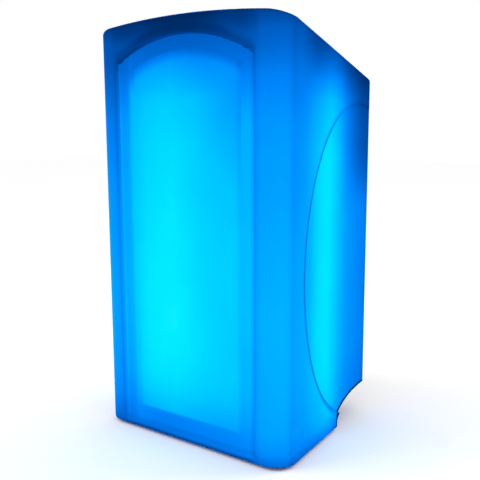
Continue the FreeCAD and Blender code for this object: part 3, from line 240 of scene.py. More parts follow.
def glowing_cabinet():
    g = Graph("cabinet_glow")
    mm = g.node("ShaderNodeVectorMath", operation="SCALE")
    g.plug(g.place, mm.inputs[0])
    mm.inputs["Scale"].default_value = 1000.0
    x, y, z = g.split(mm.outputs[0])
    y = g.sub(y, FRONT_Y * 1000)
    across = g.math("ABSOLUTE", x)
    round_outside = g.add(across, y)
    normal = g.split(g.node("ShaderNodeNewGeometry").outputs["Normal"])

    # side walls: an oval scoop, brighter than what surrounds it, with painted shade along its lip
    u = g.mul(g.sub(y, SCOOP_CENTRE[0]), 1 / SCOOP_HALF[0])
    v = g.mul(g.sub(z, SCOOP_CENTRE[1]), 1 / SCOOP_HALF[1])
    oval = g.math("SQRT", g.add(g.mul(u, u), g.mul(v, v)))
    on_side = g.step(y, 36, 44)
    inside = g.mul(g.step(oval, 0.985, 0.965), on_side)
    outside_level = g.curve(round_outside, levels(FRAME_ROUND))
    level = g.blend(inside, outside_level, g.curve(round_outside, levels(SCOOP_ROUND)))
    lip_shade = g.mul(g.step(oval, 0.975, 0.995), g.step(oval, 1.035, 0.995))
    lip_shade = g.mul(g.mul(lip_shade, on_side), g.step(y, 235, 150, *LIP_SHADE))
    level = g.mul(level, g.sub(1.0, lip_shade))
    fade_frame = g.curve(z, FRAME_BY_HEIGHT)
    fade_side = g.curve(z, SIDE_BY_HEIGHT)
    fade = g.blend(g.step(y, 40, 120), fade_frame, fade_side)
    # painted shade at the rear top, where the hardware inside keeps the lamp's light off
    rear_top = g.mul(g.step(y, 190, 320), g.step(z, 370, 500))
    outer = g.mul(g.mul(level, fade), g.sub(1.0, g.mul(rear_top, REAR_TOP_SHADE)))

    # painted shade and light: the frame round the panel is darker over the arch and just outside it, lighter
    # farther out, and darker on the left
    on_face = g.step(y, 30, 12)
    over_arch = g.mul(g.step(z, 648, 676), on_face)
    centre = g.sub(1.0, g.low(g.mul(g.mul(across, across), 1 / 160 ** 2), 1.0))
    outer = g.mul(outer, g.sub(1.0, g.mul(g.mul(over_arch, centre), OVER_ARCH_SHADE)))
    outer = g.mul(outer, g.step(x, -150, 150, 0.91, 1.0))
    rise = g.sub(z, ARCH_Z)
    beyond = g.sub(g.math("SQRT", g.add(g.mul(x, x), g.mul(rise, rise))), ARCH_R)
    by_arch = g.mul(g.mul(g.step(z, 612, 626), on_face), g.step(across, 152, 142))
    arch_shade = g.mul(g.mul(g.step(beyond, 20, 4), g.step(across, 35, 105)), ARCH_HALO_SHADE)
    arch_light = g.mul(g.mul(g.step(beyond, 8, 20), g.step(across, 130, 90)), ARCH_PAINTED_LIGHT)
    outer = g.mul(outer, g.add(1.0, g.mul(by_arch, g.sub(arch_light, arch_shade))))
    outer = g.mul(outer, g.blend(g.step(x, -136, -148), 1.0, g.curve(z, LEFT_BY_HEIGHT)))

    # panel: a band at the first step, then the bright field on the second
    field = g.mul(g.curve(x, levels(FIELD_ACROSS)), g.curve(z, PANEL_BY_HEIGHT))
    # painted shade on the field's upper right and along its arch
    top_right = g.mul(g.mul(g.step(x, 20, 112), g.step(z, 400, 570)), g.step(z, 640, 565))
    field = g.mul(field, g.sub(1.0, g.mul(top_right, TOP_RIGHT_SHADE)))
    rise = g.sub(z, FIELD_ARCH_Z)
    within = g.sub(FIELD_ARCH_R, g.math("SQRT", g.add(g.mul(x, x), g.mul(rise, rise))))
    by_field_arch = g.mul(g.step(within, 15, -2), g.step(z, 500, 560, 0.0, FIELD_ARCH_SHADE))
    field = g.mul(field, g.sub(1.0, by_field_arch))
    band = g.mul(g.curve(x, levels(BAND_ACROSS)), g.curve(z, BAND_BY_HEIGHT))
    spill = g.mul(g.mul(g.step(x, -129, -120), g.step(x, 0, -60)),
                  g.mul(g.step(z, 60, 450, 0.5, 1.0), g.step(z, 625, 580)))
    band = g.blend(g.mul(spill, g.step(z, 36, 60)), band, field)
    on_front = g.mul(g.step(y, 30, 26), g.step(across, 148.5, 147.0))
    on_field = g.mul(g.step(y, 8.4, 10.8), on_front)
    on_band = g.mul(g.step(y, 2.5, 7.0), on_front)
    front = g.blend(on_field, g.blend(on_band, outer, band), field)

    # painted shade on the soft sill under the panel and on the rim beside it, and painted light on its left
    # wall
    on_sill = g.mul(g.step(z, PANEL_FOOT + 2, PANEL_FOOT + 0.5), g.step(y, 10, 6))
    on_sill = g.mul(on_sill, g.step(across, PANEL_HALF + 9, PANEL_HALF - 14))
    sill_shade = g.mul(g.curve(z, levels(SILL_SHADE_BY_HEIGHT)), g.step(x, -160, 160, 0.95, 1.06))
    front = g.blend(on_sill, front, sill_shade)
    past_edge = g.sub(across, g.step(x, -1, 1, PANEL_HALF + 2, PANEL_HALF))
    rim_shade = g.mul(g.step(past_edge, -0.5, 1.5), g.step(past_edge, 6, 2))
    rim_shade = g.mul(g.mul(rim_shade, g.step(y, 2.5, 0.3)), g.mul(g.step(z, 14, 24), g.step(z, 655, 635)))
    front = g.mul(front, g.sub(1.0, g.mul(rim_shade, RIM_SHADE)))
    left_wall_light = g.mul(g.mul(g.step(x, -143.5, -145.5), g.step(y, 0.4, 1.6)), g.step(y, 8.5, 7.5))
    front = g.mul(front, g.add(1.0, g.mul(left_wall_light, LEFT_WALL_LIGHT)))

    # painted shadow along the edge of the raised rear, measured from the quarter oval of its underside
    short = g.low(g.high(g.mul(g.sub(UNDERCUT_CREST, y), 1 / (UNDERCUT_CREST - UNDERCUT_FROM)), 0.0), 1.0)
    above = g.mul(g.high(g.sub(z, UNDERCUT_LOW), 0.0), 1 / (UNDERCUT_HIGH - UNDERCUT_LOW))
    undercut = g.math("SQRT", g.add(g.mul(short, short), g.mul(above, above)))
    rear_edge_shadow = g.mul(g.step(undercut, 1.13, 1.04), g.step(y, UNDERCUT_FROM - 5, UNDERCUT_FROM - 1))
    facing_side = g.step(g.math("ABSOLUTE", normal[0]), 0.6, 0.85)
    front = g.blend(g.mul(rear_edge_shadow, facing_side), front, EDGE_SHADOW_LEVEL)

    # painted shade on the roof, on the underside with its wheel wells and step, and on the back
    dx, dy = g.sub(x, LIGHT_X), g.sub(y, LIGHT_Y)
    from_light = g.math("SQRT", g.add(g.mul(dx, dx), g.mul(dy, dy)))
    roof = g.curve(from_light, ROOF_FROM_LIGHT)
    front = g.blend(g.mul(g.step(normal[2], 0.55, 0.9), g.step(z, 500, 560)), front, roof)
    under = g.curve(from_light, UNDER_FROM_LIGHT)
    behind = g.step(y, UNDERCUT_FROM - 4, UNDERCUT_FROM - 1)
    in_well = g.mul(g.mul(g.step(across, 134, 128), behind), g.step(z, 80, 75))
    on_step = g.mul(g.mul(g.step(normal[1], 0.25, 0.5), g.step(y, 335, 325)),
                    g.mul(g.step(z, 60, UNDERCUT_HIGH), behind))
    front = g.blend(g.high(g.step(normal[2], -0.5, -0.9), g.high(in_well, on_step)), front, under)
    back = g.curve(z, BACK_BY_HEIGHT)
    front = g.blend(g.mul(g.step(normal[1], 0.6, 0.95), g.step(y, 335, 343)), front, back)

    # the moulded wall is not quite even, and its skin is like fine orange peel
    cloud = g.noise(9.0, 2.0)
    front = g.mul(front, g.step(cloud, 0.3, 0.7, 0.985, 1.012))
    colours = g.node("ShaderNodeValToRGB")
    elements = colours.color_ramp.elements
    while len(elements) < len(GLOW_COLOURS):
        elements.new(0.5)
    for element, (number, colour) in zip(elements, GLOW_COLOURS):
        element.position = number / 255
        element.color = rgb(*colour)
    g.plug(front, colours.inputs[0])
    skin = g.noise(420.0, 3.0, 0.5)
    g.bump(skin, 0.12, 0.0004)
    # the dark blue base colour is painted shade: the pale plastic is made dark so that outside light scarcely
    # shows on it
    g.set(Base_Color=g.mix(g.step(cloud, 0.35, 0.65), rgb(0, 10, 28), rgb(0, 13, 34)),
          Roughness=g.step(skin, 0.2, 0.8, 0.42, 0.52),
          Emission_Color=colours.outputs[0])
    g.shader.inputs["Specular IOR Level"].default_value = 0.0
    g.shader.inputs["Emission Strength"].default_value = 1.0
    return g.material


# ---------------------------------------------------------------- other materials
def plastic(name, colour, rough=0.5, grain=900.0, depth=0.0003, strength=0.35, vary=0.25):
    """Moulded plastic with a fine spark texture."""
    g = Graph(name)
    broad, fine = g.noise(14.0, 3.0), g.noise(grain, 2.0, 0.6)
    dark = tuple(c * (1 - vary) for c in colour[:3]) + (1.0,)
    g.set(Base_Color=g.mix(g.step(broad, 0.3, 0.7), dark, colour),
          Roughness=g.step(fine, 0.25, 0.75, rough - 0.07, rough + 0.09))
    g.bump(fine, strength, depth)
    return g.material


def steel(name, colour, rough=0.32, brushed=(1.0, 1.0, 60.0), scale=90.0):
    """Plated or brushed metal: fine lines along one direction, and handling marks."""
    g = Graph(name)
    stretch = g.node("ShaderNodeMapping")
    g.plug(g.place, stretch.inputs[0])
    stretch.inputs["Scale"].default_value = brushed
    lines = g.noise(scale, 4.0, 0.6, stretch.outputs[0])
    marks = g.noise(35.0, 5.0)
    dull = tuple(c * 0.78 for c in colour[:3]) + (1.0,)
    g.set(Base_Color=g.mix(g.step(marks, 0.35, 0.7), colour, dull),
          Roughness=g.step(lines, 0.3, 0.7, rough - 0.06, rough + 0.12))
    g.shader.inputs["Metallic"].default_value = 1.0
    g.bump(lines, 0.12, 0.0002)
    return g.material


def powder_coat(name, colour, rough=0.5):
    """Baked coat with a fine peel and a little dust."""
    g = Graph(name)
    peel, dust = g.noise(700.0, 2.0, 0.5), g.noise(25.0, 4.0)
    light = tuple(min(1, c * 1.5 + 0.004) for c in colour[:3]) + (1.0,)
    g.set(Base_Color=g.mix(g.step(dust, 0.45, 0.75), colour, light),
          Roughness=g.step(peel, 0.3, 0.7, rough - 0.05, rough + 0.1))
    g.bump(peel, 0.4, 0.0003)
    g.shader.inputs["Coat Weight"].default_value = 0.15
    g.shader.inputs["Coat Roughness"].default_value = 0.35
    return g.material


def rubber(name, colour=(0.018, 0.018, 0.018, 1), dusty=0.35):
    """Matt rubber, paler where it is dusty."""
    g = Graph(name)
    fine, dust = g.noise(520.0, 3.0, 0.6), g.noise(45.0, 4.0)
    pale = tuple(c + 0.05 for c in colour[:3]) + (1.0,)
    g.set(Base_Color=g.mix(g.mul(g.step(dust, 0.5, 0.8), dusty), colour, pale),
          Roughness=g.step(fine, 0.3, 0.7, 0.72, 0.9))
    g.bump(fine, 0.3, 0.0003)
    return g.material


def tyre_rubber():
    """Rubber with fine ribs across the tread."""
    g = Graph("tyre_tread")
    _, y, z = g.split(g.place)
    lo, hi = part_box("tyre_left")
    cy, cz = (lo.y + hi.y) / 2, (lo.z + hi.z) / 2
    angle = g.math("ARCTAN2", g.sub(z, cz), g.sub(y, cy))
    ribs = g.math("SINE", g.mul(angle, 48.0))
    dy, dz = g.sub(y, cy), g.sub(z, cz)
    radius = g.math("SQRT", g.add(g.mul(dy, dy), g.mul(dz, dz)))
    on_tread = g.step(radius, 0.0325, 0.0345)
    height = g.add(g.mul(g.step(ribs, -0.4, 0.1), on_tread), g.mul(g.noise(500.0), 0.15))
    dust = g.noise(60.0, 4.0)
    g.set(Base_Color=g.mix(g.step(dust, 0.5, 0.8), (0.014, 0.014, 0.015, 1), (0.035, 0.034, 0.033, 1)),
          Roughness=0.82)
    g.bump(height, 0.8, 0.0009)
    return g.material


def cone_material():
    """Pressed cone with faint rings round its axis."""
    g = Graph("cone_pressed")
    lo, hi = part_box("woofer_cone")
    cx, cz = (lo.x + hi.x) / 2, (lo.z + hi.z) / 2
    x, _, z = g.split(g.place)
    dx, dz = g.sub(x, cx), g.sub(z, cz)
    radius = g.math("SQRT", g.add(g.mul(dx, dx), g.mul(dz, dz)))
    rings = g.math("SINE", g.mul(radius, TAU / 0.0055))
    fibre = g.noise(260.0, 5.0, 0.7)
    g.set(Base_Color=g.mix(g.step(fibre, 0.35, 0.7), (0.03, 0.03, 0.033, 1), (0.07, 0.07, 0.075, 1)),
          Roughness=g.step(fibre, 0.3, 0.7, 0.55, 0.75))
    g.bump(g.add(g.step(rings, 0.4, 0.95), g.mul(fibre, 0.3)), 0.5, 0.0006)
    return g.material


def cloth(name, a, b, pitch=0.0012):
    """Plain weave in two shades."""
    g = Graph(name)
    x, _, z = g.split(g.place)
    weave = g.mul(g.math("SINE", g.mul(x, TAU / pitch)), g.math("SINE", g.mul(z, TAU / pitch)))
    g.set(Base_Color=g.mix(g.step(weave, -0.4, 0.4), a, b), Roughness=0.9)
    g.bump(g.step(weave, -0.6, 0.6), 0.5, 0.0004)
    return g.material


def circuit_board():
    """Green board with a pattern of straight traces."""
    g = Graph("solder_mask")
    traces = g.node("ShaderNodeTexBrick")
    g.plug(g.place, traces.inputs["Vector"])
    traces.inputs["Scale"].default_value = 120.0
    traces.inputs["Mortar Size"].default_value = 0.03
    speck = g.noise(150.0, 2.0)
    shown = g.mul(traces.outputs["Fac"], g.step(speck, 0.4, 0.6))
    g.set(Base_Color=g.mix(shown, (0.006, 0.07, 0.02, 1), (0.02, 0.17, 0.05, 1)), Roughness=0.35)
    g.bump(traces.outputs["Fac"], 0.2, 0.0001)
    return g.material


def lamp_strip():
    """White strip whose raised lamps are lit; the strip between them gives a faint blue glow, painted light
    from the lamps.
    """
    g = Graph("lamp_strip_lit")
    x, y, _ = g.split(g.place)
    lo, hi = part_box("led_strips")
    cx, cy = (lo.x + hi.x) / 2, (lo.y + hi.y) / 2
    reach = g.high(g.math("ABSOLUTE", g.sub(x, cx)), g.math("ABSOLUTE", g.sub(y, cy)))
    lit = g.step(reach, 0.0131, 0.0134)
    g.set(Base_Color=g.mix(g.noise(200.0), (0.75, 0.76, 0.76, 1), (0.85, 0.85, 0.84, 1)), Roughness=0.4,
          Emission_Color=g.mix(lit, (0.0, 0.03, 0.08, 1), (0.15, 0.8, 1.0, 1)))
    g.shader.inputs["Emission Strength"].default_value = 3.0
    return g.material


METER_BARS, METER_ROWS = 13.0, 9.0


def display_glass():
    """Dark window with a lit level meter of plain bars."""
    g = Graph("display_window_lit")
    x, _, z = g.split(g.place)
    lo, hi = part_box("display_window")
    u = g.math("DIVIDE", g.sub(x, lo.x), hi.x - lo.x)
    v = g.math("DIVIDE", g.sub(z, lo.z), hi.z - lo.z)
    cell = g.math("FRACT", g.mul(u, METER_BARS))
    column = g.math("FLOOR", g.mul(u, METER_BARS))
    bar = g.mul(g.step(cell, 0.2, 0.26), g.step(cell, 0.8, 0.74))
    rows = g.math("FRACT", g.mul(v, METER_ROWS))
    segment = g.mul(bar, g.mul(g.step(rows, 0.15, 0.25), g.step(rows, 0.85, 0.75)))
    height = g.add(0.45, g.mul(g.math("SINE", g.mul(column, 1.7)), 0.25))
    within = g.mul(g.step(v, 0.12, 0.14), g.mul(g.step(u, 0.04, 0.06), g.step(u, 0.96, 0.94)))
    shown = g.mul(segment, g.mul(g.step(v, height, g.sub(height, 0.02)), within))
    smear = g.noise(60.0, 4.0)
    g.set(Base_Color=g.mix(smear, (0.008, 0.008, 0.01, 1), (0.014, 0.014, 0.017, 1)),
          Roughness=g.step(smear, 0.3, 0.7, 0.08, 0.16),
          Emission_Color=g.mix(shown, (0, 0, 0, 1), (0.05, 0.55, 0.9, 1)))
    g.shader.inputs["Emission Strength"].default_value = 1.2
    return g.material


def marking(name, colour):
    """Slightly worn print."""
    g = Graph(name)
    wear = g.noise(300.0, 3.0)
    pale = tuple(c * 0.85 for c in colour[:3]) + (1.0,)
    g.set(Base_Color=g.mix(g.step(wear, 0.4, 0.7), colour, pale), Roughness=g.step(wear, 0.3, 0.7, 0.45, 0.6))
    return g.material


def dress(names, material):
    for name in names:
        mesh = NODES[name].data
        mesh.materials.clear()
        mesh.materials.append(material)
        for polygon in mesh.polygons:
            polygon.material_index = 0


BLACK_ABS = plastic("black_abs", (0.026, 0.026, 0.028, 1), 0.55, 1100.0, 0.00035, 0.5)
GLOSS_BLACK = plastic("gloss_black_moulding", (0.016, 0.016, 0.018, 1), 0.28, 500.0, 0.0001, 0.15)
BLACK_STEEL = powder_coat("black_powder_coat", (0.018, 0.018, 0.02, 1))
ZINC = steel("zinc_plate", (0.58, 0.58, 0.56, 1))
RUBBER = rubber("black_rubber_moulding")
SCREW = steel("blackened_screw", (0.09, 0.09, 0.095, 1), 0.38, (30.0, 1.0, 30.0), 40.0)
KNOB = plastic("knob_soft_touch", (0.022, 0.022, 0.024, 1), 0.62, 1400.0, 0.0002, 0.3)
BRASS = steel("brass_turned", (0.62, 0.42, 0.16, 1), 0.3, (40.0, 1.0, 40.0), 50.0)
SPIDER_CLOTH = cloth("spider_cotton", (0.45, 0.30, 0.07, 1), (0.6, 0.42, 0.12, 1))
WHITE_MARK = marking("white_marking", (0.72, 0.73, 0.74, 1))
KNOBS = ["knob_master", "knob_microphone", "knob_echo", "knob_tone"]
BUTTONS = ["button_mode", "button_previous", "button_play", "button_next", "button_light"]

dress(["shell"], glowing_cabinet())
dress(["baffle", "pole_socket", "handle_cup", "tweeter_horn", "led_controller", "button_switches"], BLACK_ABS)
dress(["mic_jacks", "aux_jack", "charge_socket", "switch_housing"], GLOSS_BLACK)
dress(["switch_rocker"], plastic("rocker_red", (0.36, 0.012, 0.01, 1), 0.3, 500.0, 0.0001, 0.15))
dress(["grille", "woofer_basket"], BLACK_STEEL)
dress(["wheel_brackets", "wheel_axles", "woofer_top_plate", "woofer_pole_piece", "potentiometers",
       "usb_socket", "battery_bracket"], ZINC)
dress(["base_screws", "baffle_screws", "grille_screws", "driver_screws", "handle_screws",
       "control_plate_screws"], SCREW)
dress(["front_feet", "baffle_gasket", "woofer_surround"], RUBBER)
dress(["handle_bar"], plastic("handle_grip", (0.02, 0.02, 0.021, 1), 0.68, 800.0, 0.0005, 0.6))
dress(["wiring_harness"], rubber("lead_jacket_rubber", (0.02, 0.02, 0.022, 1), 0.1))
dress(["shell_inserts", "board_standoffs"], BRASS)
dress(["woofer_cone", "woofer_dust_cap"], cone_material())
dress(["woofer_spider"], SPIDER_CLOTH)
dress(["voice_coil"], steel("copper_winding", (0.7, 0.28, 0.12, 1), 0.3, (1.0, 300.0, 1.0), 60.0))
dress(["woofer_magnet", "tweeter_driver"], powder_coat("ferrite_grey", (0.05, 0.05, 0.052, 1), 0.6))
dress(["control_plate"], steel("anodised_black", (0.075, 0.075, 0.08, 1), 0.42, (1.0, 1.0, 80.0), 70.0))
dress(["heat_sink"], steel("heat_sink_anodised", (0.12, 0.12, 0.125, 1), 0.4, (60.0, 1.0, 1.0)))
dress(["amplifier_board"], circuit_board())
dress(["battery_pack"], plastic("battery_wrap_film", (0.02, 0.05, 0.2, 1), 0.22, 120.0, 0.0003, 0.25))
dress(["led_mast"], steel("mast_extrusion", (0.72, 0.72, 0.73, 1), 0.34, (1.0, 1.0, 0.02), 300.0))
dress(["led_strips"], lamp_strip())
dress(["display_window"], display_glass())
dress(KNOBS, KNOB)
dress(BUTTONS, plastic("button_satin_silver", (0.42, 0.43, 0.45, 1), 0.34, 900.0, 0.0001, 0.2, 0.12))
dress(["wheel_hub_left", "wheel_hub_right"], plastic("wheel_nylon", (0.09, 0.09, 0.095, 1), 0.5, 700.0))
dress(["tyre_left", "tyre_right"], tyre_rubber())


# ---------------------------------------------------------------- pieces drawn over the CAD
def linked(name, mesh, material):
    """A piece of the visual model, in the scene and painted."""
    made = bpy.data.objects.new(name, mesh)
    bpy.context.scene.collection.objects.link(made)
    mesh.materials.clear()
    mesh.materials.append(material)
    return made


def add(name, mesh, body, material):
    made = linked(name, mesh, material)
    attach(made, body)
    return made


def smooth(mesh, degrees=35):
    for polygon in mesh.polygons:
        polygon.use_smooth = True
    mesh.set_sharp_from_angle(angle=math.radians(degrees))


def disc(x, z, radius, corners=20, turn=0.0):
    return [(x + radius * math.cos(turn + TAU * k / corners), z + radius * math.sin(turn + TAU * k / corners))
            for k in range(corners)]


def arc_mark(x, z, r0, r1, middle, half, steps=1):
    """A bar or band between two radii, about an angle from straight up that grows towards -x."""
    angles = [middle - half + 2 * half * k / steps for k in range(steps + 1)]
    outer = [(x - r1 * math.sin(a), z + r1 * math.cos(a)) for a in angles]
    return outer + [(x - r0 * math.sin(a), z + r0 * math.cos(a)) for a in reversed(angles)]


def raised(name, outlines, face_y, height, body, material, taper=1.0):
    """Flat shapes (x, z) standing a little out of a face that looks back along +Y."""
    bm = bmesh.new()
    for outline in outlines:
        area = sum(a[0] * b[1] - b[0] * a[1] for a, b in zip(outline, outline[1:] + outline[:1]))
        points = outline if area < 0 else outline[::-1]
        middle = Vector((sum(p[0] for p in points), 0, sum(p[1] for p in points))) / len(points)
        rings = []
        for y, shrink in ((face_y - 0.0001, 1.0), (face_y + height, taper)):
            ring = []
            for x, z in points:
                p = middle + (Vector((x, 0, z)) - middle) * shrink
                ring.append(bm.verts.new((p.x, y, p.z)))
            rings.append(ring)
        low, high = rings
        for k in range(len(points)):
            n = (k + 1) % len(points)
            bm.faces.new((low[k], low[n], high[n], high[k]))
        bm.faces.new(high)
        bm.faces.new(low[::-1])
    bmesh.ops.recalc_face_normals(bm, faces=bm.faces)
    mesh = bpy.data.meshes.new(name)
    bm.to_mesh(mesh)
    bm.free()
    add(name, mesh, body, material)


def middle_of(node):
    """A node's middle and the y of its rearmost face."""
    low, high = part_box(node)
    return (low + high) / 2, high.y


def half_width(node):
    low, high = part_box(node)
    return (high.x - low.x) / 2


# ---- perforated grille: the CAD dish with staggered rows of round holes through its flat face
HOLE_R, HOLE_PITCH, HOLE_CORNERS, HOLE_TURN = 0.0021, 0.0062, 10, 0.3
SHEET, DISH_CORNER, EDGE_LAND = 0.0012, 0.009, 0.0022
WELD, TINY = 1e-6, 1e-7


def in_plane(part, y):
    return all(abs(v.co.y - y) < WELD for v in part.verts)


def border_loops(bm, y):
    """Closed loops of open edges in the plane y, as lists of (x, z), the widest first."""
    left = dict.fromkeys(e for e in bm.edges if e.is_boundary and in_plane(e, y))   # a set has no fixed order
    loops = []
    while left:
        edge, _ = left.popitem()
        start, at = edge.verts
        loop = [start]
        while at is not start:
            loop.append(at)
            edge = next(e for e in at.link_edges if e in left)
            del left[edge]
            at = edge.other_vert(at)
        loops.append([(v.co.x, v.co.z) for v in loop])
    return sorted(loops, key=lambda l: min(p[0] for p in l) - max(p[0] for p in l))


def gap(x, z, loop):
    """The least distance from a place to the sides of a closed loop."""
    least = math.inf
    for (x0, z0), (x1, z1) in zip(loop, loop[1:] + loop[:1]):
        dx, dz = x1 - x0, z1 - z0
        along = ((x - x0) * dx + (z - z0) * dz) / max(dx * dx + dz * dz, 1e-18)
        along = min(max(along, 0.0), 1.0)
        least = min(least, math.hypot(x - x0 - along * dx, z - z0 - along * dz))
    return least


def hole_centres(outline):
    """Staggered rows, clear of the sheet's rounded outline and of the screw seats that bite into it."""
    x0, x1 = min(p[0] for p in outline), max(p[0] for p in outline)
    z0, z1 = min(p[1] for p in outline), max(p[1] for p in outline)
    rise, land = HOLE_PITCH * math.sqrt(3) / 2, HOLE_R + EDGE_LAND
    rows, columns = int((z1 - z0) / rise / 2) + 1, int((x1 - x0) / HOLE_PITCH / 2) + 1
    centres = []
    for row in range(-rows, rows + 1):
        for column in range(-columns, columns + 1):
            x, z = (column + 0.5 * (row % 2)) * HOLE_PITCH, (z0 + z1) / 2 + row * rise
            dx = max(x0 + DISH_CORNER - x, x - x1 + DISH_CORNER, 0)
            dz = max(z0 + DISH_CORNER - z, z - z1 + DISH_CORNER, 0)
            if math.hypot(dx, dz) <= DISH_CORNER - land and gap(x, z, outline) >= land:
                centres.append((x, z))
    return centres


def pierced_side(bm, y, loops, holes):
    """One side of the sheet in the plane y, less its holes; gives back each hole's ring of corners."""
    points, edges, owner = [], [], []
    for number, loop in enumerate(loops + [disc(x, z, HOLE_R, HOLE_CORNERS, HOLE_TURN) for x, z in holes]):
        first, count = len(points), len(loop)
        points += [Vector(p) for p in loop]
        edges += [(first + k, first + (k + 1) % count) for k in range(count)]
        owner += [number] * count
    places, _, triangles, sources, *_ = delaunay_2d_cdt(points, edges, [], 1, TINY)
    verts = [bm.verts.new((p.x, y, p.y)) for p in places]
    for triangle in triangles:
        owners = {owner[sources[k][0]] for k in triangle}
        if len(owners) > 1 or 0 in owners:
            bm.faces.new([verts[k] for k in triangle])
    corner = {source: vert for vert, given in zip(verts, sources) for source in given}
    first = len(points) - HOLE_CORNERS * len(holes)
    starts = range(first, len(points), HOLE_CORNERS)
    return [[corner[start + k] for k in range(HOLE_CORNERS)] for start in starts]


def perforated_grille():
    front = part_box("grille")[1].y
    bm = bmesh.new()
    bm.from_mesh(NODES["grille"].data)
    bmesh.ops.remove_doubles(bm, verts=bm.verts, dist=WELD)
    bm.normal_update()
    flat = [f for f in bm.faces if (in_plane(f, front) and f.normal.y > 0.9)
            or (in_plane(f, front - SHEET) and f.normal.y < -0.9)]
    bmesh.ops.delete(bm, geom=flat, context="FACES")
    outer, inner = border_loops(bm, front), border_loops(bm, front - SHEET)
    holes = hole_centres(inner[0])
    outer_rings = pierced_side(bm, front, outer, holes)
    inner_rings = pierced_side(bm, front - SHEET, inner, holes)
    for out, back in zip(outer_rings, inner_rings):
        for k in range(HOLE_CORNERS):
            n = (k + 1) % HOLE_CORNERS
            bm.faces.new((out[k], out[n], back[n], back[k]))
    bmesh.ops.delete(bm, geom=[v for v in bm.verts if not v.link_faces], context="VERTS")
    bmesh.ops.remove_doubles(bm, verts=bm.verts, dist=WELD)
    bmesh.ops.recalc_face_normals(bm, faces=bm.faces)
    mesh = bpy.data.meshes.new("grille_perforated")
    bm.to_mesh(mesh)
    bm.free()
    smooth(mesh, 40)
    made = add("grille_perforated", mesh, "cabinet", BLACK_STEEL)
    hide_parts("grille")


# ---- the rubber roll and the cloth suspension give as the cone moves: each is cut into closed sectors
def flexing_ring(node, material, sectors):
    low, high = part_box(node)
    centre = (low + high) / 2
    step = TAU / sectors
    for k in range(sectors):
        bm = bmesh.new()
        bm.from_mesh(NODES[node].data)
        bmesh.ops.remove_doubles(bm, verts=bm.verts, dist=WELD)
        for angle, way in ((k * step, 1), ((k + 1) * step, -1)):
            tangent = Vector((-math.sin(angle), 0, math.cos(angle))) * way
            bmesh.ops.bisect_plane(bm, geom=bm.verts[:] + bm.edges[:] + bm.faces[:], dist=TINY,
                                   plane_co=centre, plane_no=tangent, clear_inner=True)
        bmesh.ops.holes_fill(bm, edges=[e for e in bm.edges if e.is_boundary], sides=0)
        mesh = bpy.data.meshes.new(f"{node}_{k}")
        bm.to_mesh(mesh)
        bm.free()
        smooth(mesh)
        made = linked(f"{node}_{k}", mesh, material)
        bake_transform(made)
        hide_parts(node)


# ---- markings
POINTER_HALF, POINTER_FROM, POINTER_TO = 0.0005, 0.32, 0.84     # half width in metres, then shares of radius
SIGN_UNIT = 0.0011
TICKS, TICK_STEP, FIRST_TICK = 11, 30, -150                     # round each knob, in degrees
LINE, DIVIDERS, DIVIDER_INSET = 0.0005, (0.158, 0.1245), 0.012
JACK_INSET = 0.0085                                             # from either end of the pair of jacks


def knob_pointers():
    for name in KNOBS:
        middle, face = middle_of(name)
        r = half_width(name)
        bar = [(middle.x - POINTER_HALF, middle.z + POINTER_FROM * r),
               (middle.x + POINTER_HALF, middle.z + POINTER_FROM * r),
               (middle.x + POINTER_HALF, middle.z + POINTER_TO * r),
               (middle.x - POINTER_HALF, middle.z + POINTER_TO * r)]
        raised(name + "_pointer", [bar], face - 0.0006, 0.0005, name, WHITE_MARK, 0.9)


def button_symbols():
    """Plain transport signs, drawn as they read from behind, where +x is to the left."""
    ink = marking("symbol_ink", (0.03, 0.03, 0.035, 1))

    def triangle(x, z, s, way):
        return [(x - way * s, z), (x + way * s * 0.7, z + s), (x + way * s * 0.7, z - s)]

    def bar(x, z, w, h):
        return [(x - w, z - h), (x + w, z - h), (x + w, z + h), (x - w, z + h)]

    def signs(name, x, z):
        u = SIGN_UNIT
        if name == "button_mode":
            return [arc_mark(x, z, 1.5 * u, 2.1 * u, 0, math.pi * 0.999, 24), disc(x, z, 0.6 * u, 12)]
        if name == "button_previous":
            return [triangle(x + 1.4 * u, z, 1.2 * u, -1), triangle(x - 0.8 * u, z, 1.2 * u, -1),
                    bar(x + 2.6 * u, z, 0.2 * u, 1.2 * u)]
        if name == "button_play":
            return [triangle(x + 0.9 * u, z, 1.3 * u, 1), bar(x - 1.1 * u, z, 0.28 * u, 1.3 * u),
                    bar(x - 2.0 * u, z, 0.28 * u, 1.3 * u)]
        if name == "button_next":
            return [triangle(x - 1.4 * u, z, 1.2 * u, 1), triangle(x + 0.8 * u, z, 1.2 * u, 1),
                    bar(x - 2.6 * u, z, 0.2 * u, 1.2 * u)]
        rays = [arc_mark(x, z, 1.7 * u, 2.5 * u, k * TAU / 8, 0.13) for k in range(8)]
        return [disc(x, z, 1.1 * u, 16)] + rays

    for name in BUTTONS:
        middle, face = middle_of(name)
        raised(name + "_sign", signs(name, middle.x, middle.z), face, 0.00012, name, ink)


